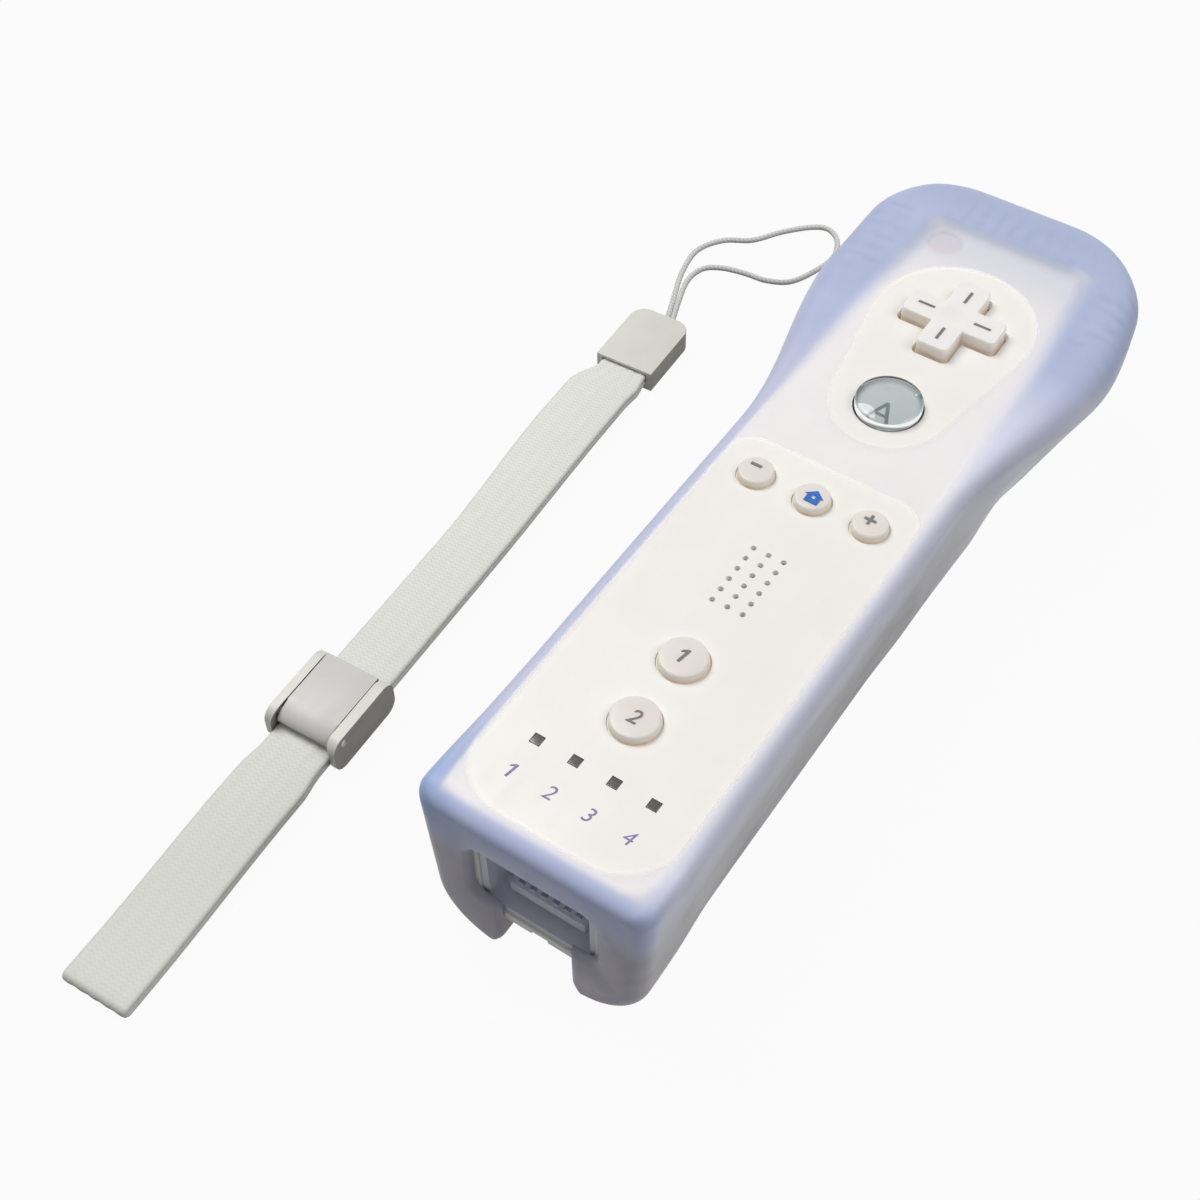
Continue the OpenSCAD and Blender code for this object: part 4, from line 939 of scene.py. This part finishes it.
def jacket_ring(y):
    """Section of the jacket's outside across its length, from under the keel round by the right."""
    wide = ease((y - ridge_y0 - 4) / flare_run)
    foot = ease((case_y0 + foot_run - y) / foot_run)
    ahead = min(0.985, max(0.0, 1 - (front_y - y) / front_turn))
    rounded = (1 - ahead**plan_power) ** (1 / plan_power)
    rounded *= 1 - front_pinch * ease(1 - (front_y - y) / pinch_run)
    tucked = rear_tuck * lip(1 - (y - rear_y) / rear_tuck)
    top_w = (half_w + side_t + flare * wide + swell * foot) * rounded - tucked
    waist = waist_in * math.sin(math.pi * min(1.0, max(0.0, (y - 20) / 20))) ** 2
    low_w = half_w - draft + side_t + 0.3 - waist + low_flare * wide + (swell + 0.35) * foot
    low_w = low_w * rounded - tucked
    arch = arch_h * ease((y - case_y0 - 8) / 10) * ease((ridge_y0 - 2 - y) / 14)
    nose = (nose_z - 2.5 * belly_t) * ease((y - ridge_y1 + 3) / 34)
    low_z = arch + nose + 1.1 * lip(1 - (y - rear_y) / 4.4) + 7 * lip(1 - (front_y - y) / 8)
    top_z = face_z + rim_h + 1.45 * ease((y - case_y1 + 28) / 24)
    rim_top = top_z - face_z - film_t
    top_z -= 3 * lip(1 - (y - rear_y) / 3.5) + 7.3 * lip(1 - (front_y - y) / 8.6)
    top_r = min(2.7 + 2.7 * wide - 0.6 * ease((case_y0 + 16 - y) / 12), 0.45 * top_w)
    low_r = min(9.2 + 2.3 * foot - 2.3 * wide, 0.45 * low_w + 2)
    aside = front_lay * ease(1 - (front_y - y) / lay_run)
    tx, tz, bx, bz = top_w - top_r, top_z - top_r, low_w - low_r, low_z + low_r
    rise, span = math.atan2(tz - bz, tx - bx), math.hypot(tx - bx, tz - bz)
    lean = math.degrees(rise - math.acos((low_r - top_r) / span))
    below = arc(bx, bz, low_r, -90, lean, 16)
    above = arc(tx, tz, top_r, lean, 90, 14)
    half = [(0.0, low_z), *between((0.0, low_z), below[0], 9), *below, *between(below[-1], above[0], 12),
            *above, *between(above[-1], (0.0, top_z), 32), (0.0, top_z)]
    ring = half + [(-x, z) for x, z in reversed(half[1:-1])]
    sunk = []
    for x, z in ring:
        slope = 1.3 + 1.9 * max(wide, foot * ease((case_y0 + 9 - y) / 8))
        film = ease(inside_rim(x + aside, y) / slope) if z > top_z - 0.5 else 0.0
        sunk.append((x + aside, y, z - rim_top * film))
    return sunk


stations = [rear_y + 4.6 * (1 - math.cos(math.radians(a))) for a in range(0, 90, 6)]
body_steps, body_span = 118, front_y - front_turn - 0.2 - rear_y - 4.7
stations += [rear_y + 4.7 + body_span * i / body_steps for i in range(body_steps + 1)]
stations += [front_y - front_turn * (1 - math.sin(math.radians(a))) for a in range(0, 92, 3)]


def hull_ring(circles, grow, count=96):
    """Outline of the shape stretched round some circles, grown by a distance."""
    line = []
    for k in range(count):
        a = math.tau * (k + 0.5) / count
        way = Vector((math.cos(a), math.sin(a)))
        x, y, r = max(circles, key=lambda c: c[0] * way.x + c[1] * way.y + c[2])
        line.append((x + (r + grow) * way.x, y + (r + grow) * way.y))
    return line


def upright(circles, levels):
    """A tool that stands up: rings at each height, grown where its mouth opens."""
    return [[(x, y, z) for x, y in hull_ring(circles, grow)] for z, grow in levels]


def endways(circles, depths):
    """A tool that lies along the length: the circles are in the end view."""
    return [[(x, y, z) for x, z in hull_ring(circles, grow)] for y, grow in depths]


def core():
    """The hollow that the wand fills: its plan, its keel and its underside in one."""
    g, corner = core_gap, 5.0 + core_gap
    posts = [(sx * (half_w - 5.0), y, corner) for sx in (-1, 1) for y in (case_y0 + 5.0, case_y1 - 5.0)]
    made = shell("core", upright(posts, [(-1.0, 0.0), (film_under, 0.0)]))
    r, w, z = 8.0 + g, half_w - draft + g, case_z - g
    right = arc(w - r, z + r, r, -90, -8, 8) + [(half_w + g, split_z), (half_w + g, face_z + 4)]
    keel = right + [(-x, h) for x, h in reversed(right)]
    lengthways = [[(x, y, h) for x, h in keel] for y in (case_y0 - 6, case_y1 + 6)]
    carve(made, shell("keel", lengthways), "INTERSECT")
    side = [
        (case_y0 - g, face_z + 4), (case_y0 - g, grip_z + 3), (case_y0 + 3, grip_z - g),
        (ridge_y0 - 10, grip_z - g), (ridge_y0, case_z - g), (ridge_y1, case_z - g), (nose_y, nose_z - g),
        (case_y1 - 6, nose_z - g), (case_y1 + g, nose_z + 6), (case_y1 + g, face_z + 4),
    ]
    crossways = [[(x, y, h) for y, h in side] for x in (-half_w - 6, half_w + 6)]
    carve(made, shell("under", crossways), "INTERSECT")
    return made


silicone, tree, into = new_material("silicone", IOR=1.41, Specular_IOR_Level=0.25)
jacket = piece("jacket", skin([jacket_ring(y) for y in stations]), silicone, "controller")
carve(jacket, core())
through = [(face_z - 0.6, 0.0), (face_z + 4.0, 0.0)]
egg = [(0.0, dpad_y + 0.4, 13.3), (0.0, a_y, 9.5)]
window_ends = (half_w - 6.2, row_y + 1.6, 4.8), (half_w - 11.2, case_y0 + 12.5, 10.0)
long_window = [(s * x, y, r) for s in (-1, 1) for x, y, r in window_ends]
view_z0, view_z1 = nose_z + 6.4, face_z - 6.0
view_hole = [(s * 9.0, z, 2.4) for s in (-1, 1) for z in (view_z0 + 3.4, view_z1 - 2.4)]
trigger_hole = [(s * 9.2, y, 3.4) for s in (-1, 1) for y in (ridge_y1 + 2.6, nose_y + 2)]
port_z0, port_z1 = face_z - 23.2, face_z - 8.2
port_hole = [(s * 8.4, z, 2.4) for s in (-1, 1) for z in (port_z0 + 5.5, port_z1 - 1.6)]
lips = ((-1.5, 1.6), (0.0, 1.2), (0.1, 0.85), (0.3, 0.5), (0.6, 0.22), (1.1, 0.0), (5.0, 0.0))
mouth = [(rear_y + depth, grow) for depth, grow in lips]
carve(jacket, shell(
    "openings",
    upright(egg, through),
    upright(long_window, through),
    endways(view_hole, [(front_y + 1, 0.0), (front_y - 15.5, 0.0)]),
    upright(trigger_hole, [(-1.0, 0.0), (nose_z + 3, 0.0)]),
    endways(port_hole, mouth),
))
notch = [(-7.4, rear_y - 1), (-7.2, rear_y), (-6.6, rear_y + 0.3), (-6.3, rear_y + 0.8), (-6.2, rear_y + 1.4)]
notch += [(-6.2, case_y0 + 5.2), (-5.7, case_y0 + 6.5), (-4.4, case_y0 + 7)]
notch += [(-x, y) for x, y in reversed(notch)]
flared = [(-1.0, 1.9), (0.3, 1.5), (0.9, 0.95), (1.7, 0.45), (2.6, 0.12), (3.6, 0.0), (port_z0 + 6, 0.0)]
carve(jacket, shell("notch", [[(x + math.copysign(more, x), y, z) for x, y in notch] for z, more in flared]))


def outside(circles, count=72):
    """Tells how far a point of the plan lies outside the shape stretched round some circles."""
    ways = [(math.cos(math.tau * k / count), math.sin(math.tau * k / count)) for k in range(count)]
    limits = [(u, v, max(x * u + y * v + r for x, y, r in circles)) for u, v in ways]
    return lambda x, y: max(x * u + y * v - far for u, v, far in limits)


past_egg, past_window = outside(egg), outside(long_window)
bm = bmesh.new()
bm.from_mesh(jacket.data)
bmesh.ops.remove_doubles(bm, verts=bm.verts, dist=2e-6)
skin_mark = bm.verts.layers.float_color.new("skin")
edge_mark = bm.verts.layers.float.new("window_edge")
face_mark = bm.verts.layers.float.new("over_face")
past_case = outside([(sx * (half_w - 5), y, 5.0) for sx in (-1, 1) for y in (case_y0 + 5, case_y1 - 5)])
for vert in bm.verts:
    x, y, z = vert.co / MM
    film = front = side = under = 0.0
    if z > face_z - 0.2:
        soft = ease((y - 2) / 30)
        start, width = (1.1 * soft - 0.8, 0.8 + 3.5 * soft) if x < 0 else (1.2, 2.8 + 2.6 * soft)
        across = ease((rim_half(y) + start - abs(x)) / width)
        film = across * ease((case_y1 - 1.6 - y) / 2.6) * ease((y - case_y0 + 0.4) / 2.4)
    if z > face_z - 3:
        front = ease((y - case_y1 + 3) / 2) * ease((case_y1 + 6 - y) / 4) * ease((15 - abs(x)) / 3)
    if z > split_z:
        side = ease((abs(x) - half_w + 1) / 2) * ease((y - case_y1 + 24) / 6) * ease((case_y1 + 2 - y) / 5)
    if abs(z - film_under) < 0.01 and abs(x) < half_w + 0.1 and case_y0 - 0.1 < y < case_y1 + 0.1:
        under = 1.0
    vert[skin_mark] = (film, front, side, under)
    vert[edge_mark] = min(past_egg(x, y), past_window(x, y)) if film > 0 else 10.0
    vert[face_mark] = -past_case(x, y) if film > 0 else 0.0
bm.to_mesh(jacket.data)
bm.free()
jacket.data.shade_smooth()
jacket.data.set_sharp_from_angle(angle=math.radians(34))
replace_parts(jacket, "jacket")

# the material's tints by place: the bumper, the flanks, painted light and shade on the handle and the rear,
# then the film
tree = silicone.node_tree


def ramp(way, low, high, *ends):
    """A share that changes along one way through the jacket, between two places in millimetres."""
    return spread(tree, way, low * MM, high * MM, *ends)


def tinted(tone, *tints):
    """A tone with more colours laid over it, each by its share."""
    for share, colour in tints:
        tone = blend(tree, share, tone, colour)
    return tone


skin_values = add(tree, "VertexColor", layer_name="skin").outputs
film_share, front_share, side_share = add(tree, "SeparateColor", {0: skin_values["Color"]}).outputs
where = spot_on(tree)
x_at, y_at, z_at = parts_of(tree, where)
surface = place(tree, grain, Pits=2600.0, Clouds=70.0)
# the bumper's lavender, darker at its very front, with painted light low down and along the top rim
blue = tinted(
    blend(tree, surface["Cloud"], srgb(186, 196, 226), srgb(178, 188, 220)),
    (ramp(y_at, 64, 76), srgb(173, 184, 212)),
    # painted light: the bumper's lower part, where it turns under into shade, is made paler
    (ramp(z_at, 31, 23, 0.0, 0.95), srgb(236, 238, 250)),
    # painted light along the top rim behind the bumper
    (times(tree, ramp(y_at, 52, 40), ramp(z_at, 32.5, 26.5)), srgb(242, 243, 254)))
rearward = ramp(y_at, -15, -55)
# flank tones, paler towards the rear; the darker, greyer lower one is painted shade
upper_flank = blend(tree, rearward, srgb(192, 191, 203), srgb(208, 208, 219))
lower_flank = blend(tree, rearward, srgb(168, 164, 166), srgb(184, 180, 182))
# painted light on the handle's upper sides and crest, stronger towards the right side
handle = times(tree, ramp(y_at, 42, 12), ramp(y_at, -79, -72))
lit = ramp(x_at, -8, 12, 0.45, 0.9)
# the rear corners: the deeper tint of thick silicone, partly painted light piped along them
corner = times(tree, ramp(x_at, -11, -18), ramp(y_at, -62, -76, 0.0, 0.75))
thick = tinted(
    upper_flank,
    # painted shade: greyer and darker lower down the flank
    (ramp(z_at, 27, 10), lower_flank),
    # the rear face: partly painted shade, partly the dark socket seen through
    (times(tree, ramp(y_at, -78.5, -80.2), ramp(z_at, 30, 22)), srgb(196, 192, 205)),
    (sums(tree, "MAXIMUM", ramp(y_at, 0, 30), ramp(z_at, 20, 32, 0.0, 0.75)), blue),
    # painted light on the upper handle, more on the right
    (times(tree, ramp(z_at, 21, 30), handle, lit), srgb(216, 217, 238)),
    # painted light on the crest of the handle's right side
    (times(tree, ramp(z_at, 29.2, 31.6), ramp(x_at, 0, 14), handle), srgb(234, 235, 254)),
    # the rear top edges: the deeper tint of thick silicone, partly painted light piped along them
    (times(tree, ramp(y_at, -76.5, -79.5), ramp(z_at, 20.5, 28)), srgb(204, 213, 248)),
    (times(tree, corner, ramp(z_at, 20, 28)), srgb(160, 182, 228)))
pale = blend(tree, surface["Cloud"], srgb(229, 227, 232), srgb(225, 223, 229))
# the film is darker towards the front: partly thicker there, partly painted shade under the high front rim
hidden = ramp(y_at, 46, 62)
thin = blend(tree, hidden, pale, srgb(213, 214, 223))
rib_pitch = 3.0 * MM


def rib_lines(position):
    """Soft darker lines at the pitch of the slots inside, painted shade as if seen through the silicone."""
    wander = add(tree, "TexNoise", {"Vector": where, "Scale": 240.0, "Detail": 1.0}).outputs[0]
    drift = times(tree, wander, 0.0022)
    wave = sums(tree, "COSINE", times(tree, sums(tree, "ADD", position, drift), math.tau / rib_pitch))
    return times(tree, spread(tree, wave, -0.4, 1.0), spread(tree, wander, 0.36, 0.66))


# painted shade of the inner slots on the bumper's front and sides
ribs = times(tree, front_share, rib_lines(x_at))
ribs = sums(tree, "ADD", ribs, times(tree, side_share, rib_lines(y_at)))
shaded = blend(tree, times(tree, ribs, 0.32), thick, srgb(150, 170, 200))
tree.links.new(blend(tree, film_share, shaded, thin), into["Base Color"])
raised = ramp(z_at, face_z - 0.9, face_z - 0.1, 0.0, 0.9)
shade = times(tree, add(tree, "LightPath").outputs["Is Shadow Ray"], raised)
edge = add(tree, "Attribute", attribute_name="window_edge").outputs["Fac"]
edge_clear = spread(tree, edge, 0.2, 1.5, 1.0, 0.0)
film_clear = sums(tree, "MAXIMUM", spread(tree, hidden, 0.0, 1.0, 0.42, 0.14), edge_clear)
over_face = spread(tree, add(tree, "Attribute", attribute_name="over_face").outputs["Fac"], 0.2, 1.4)
clear_share = times(tree, film_share, over_face, film_clear)
clear_share = sums(tree, "MAXIMUM", clear_share, shade)
solid_share = sums(tree, "SUBTRACT", 1.0, sums(tree, "MAXIMUM", clear_share, skin_values["Alpha"]))
tree.links.new(solid_share, into["Alpha"])
tree.links.new(spread(tree, surface["Smear"], 0.0, 1.0, 0.36, 0.5), into["Roughness"])
tree.links.new(bump(tree, surface["Height"], 0.000005), into["Normal"])

low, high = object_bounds()
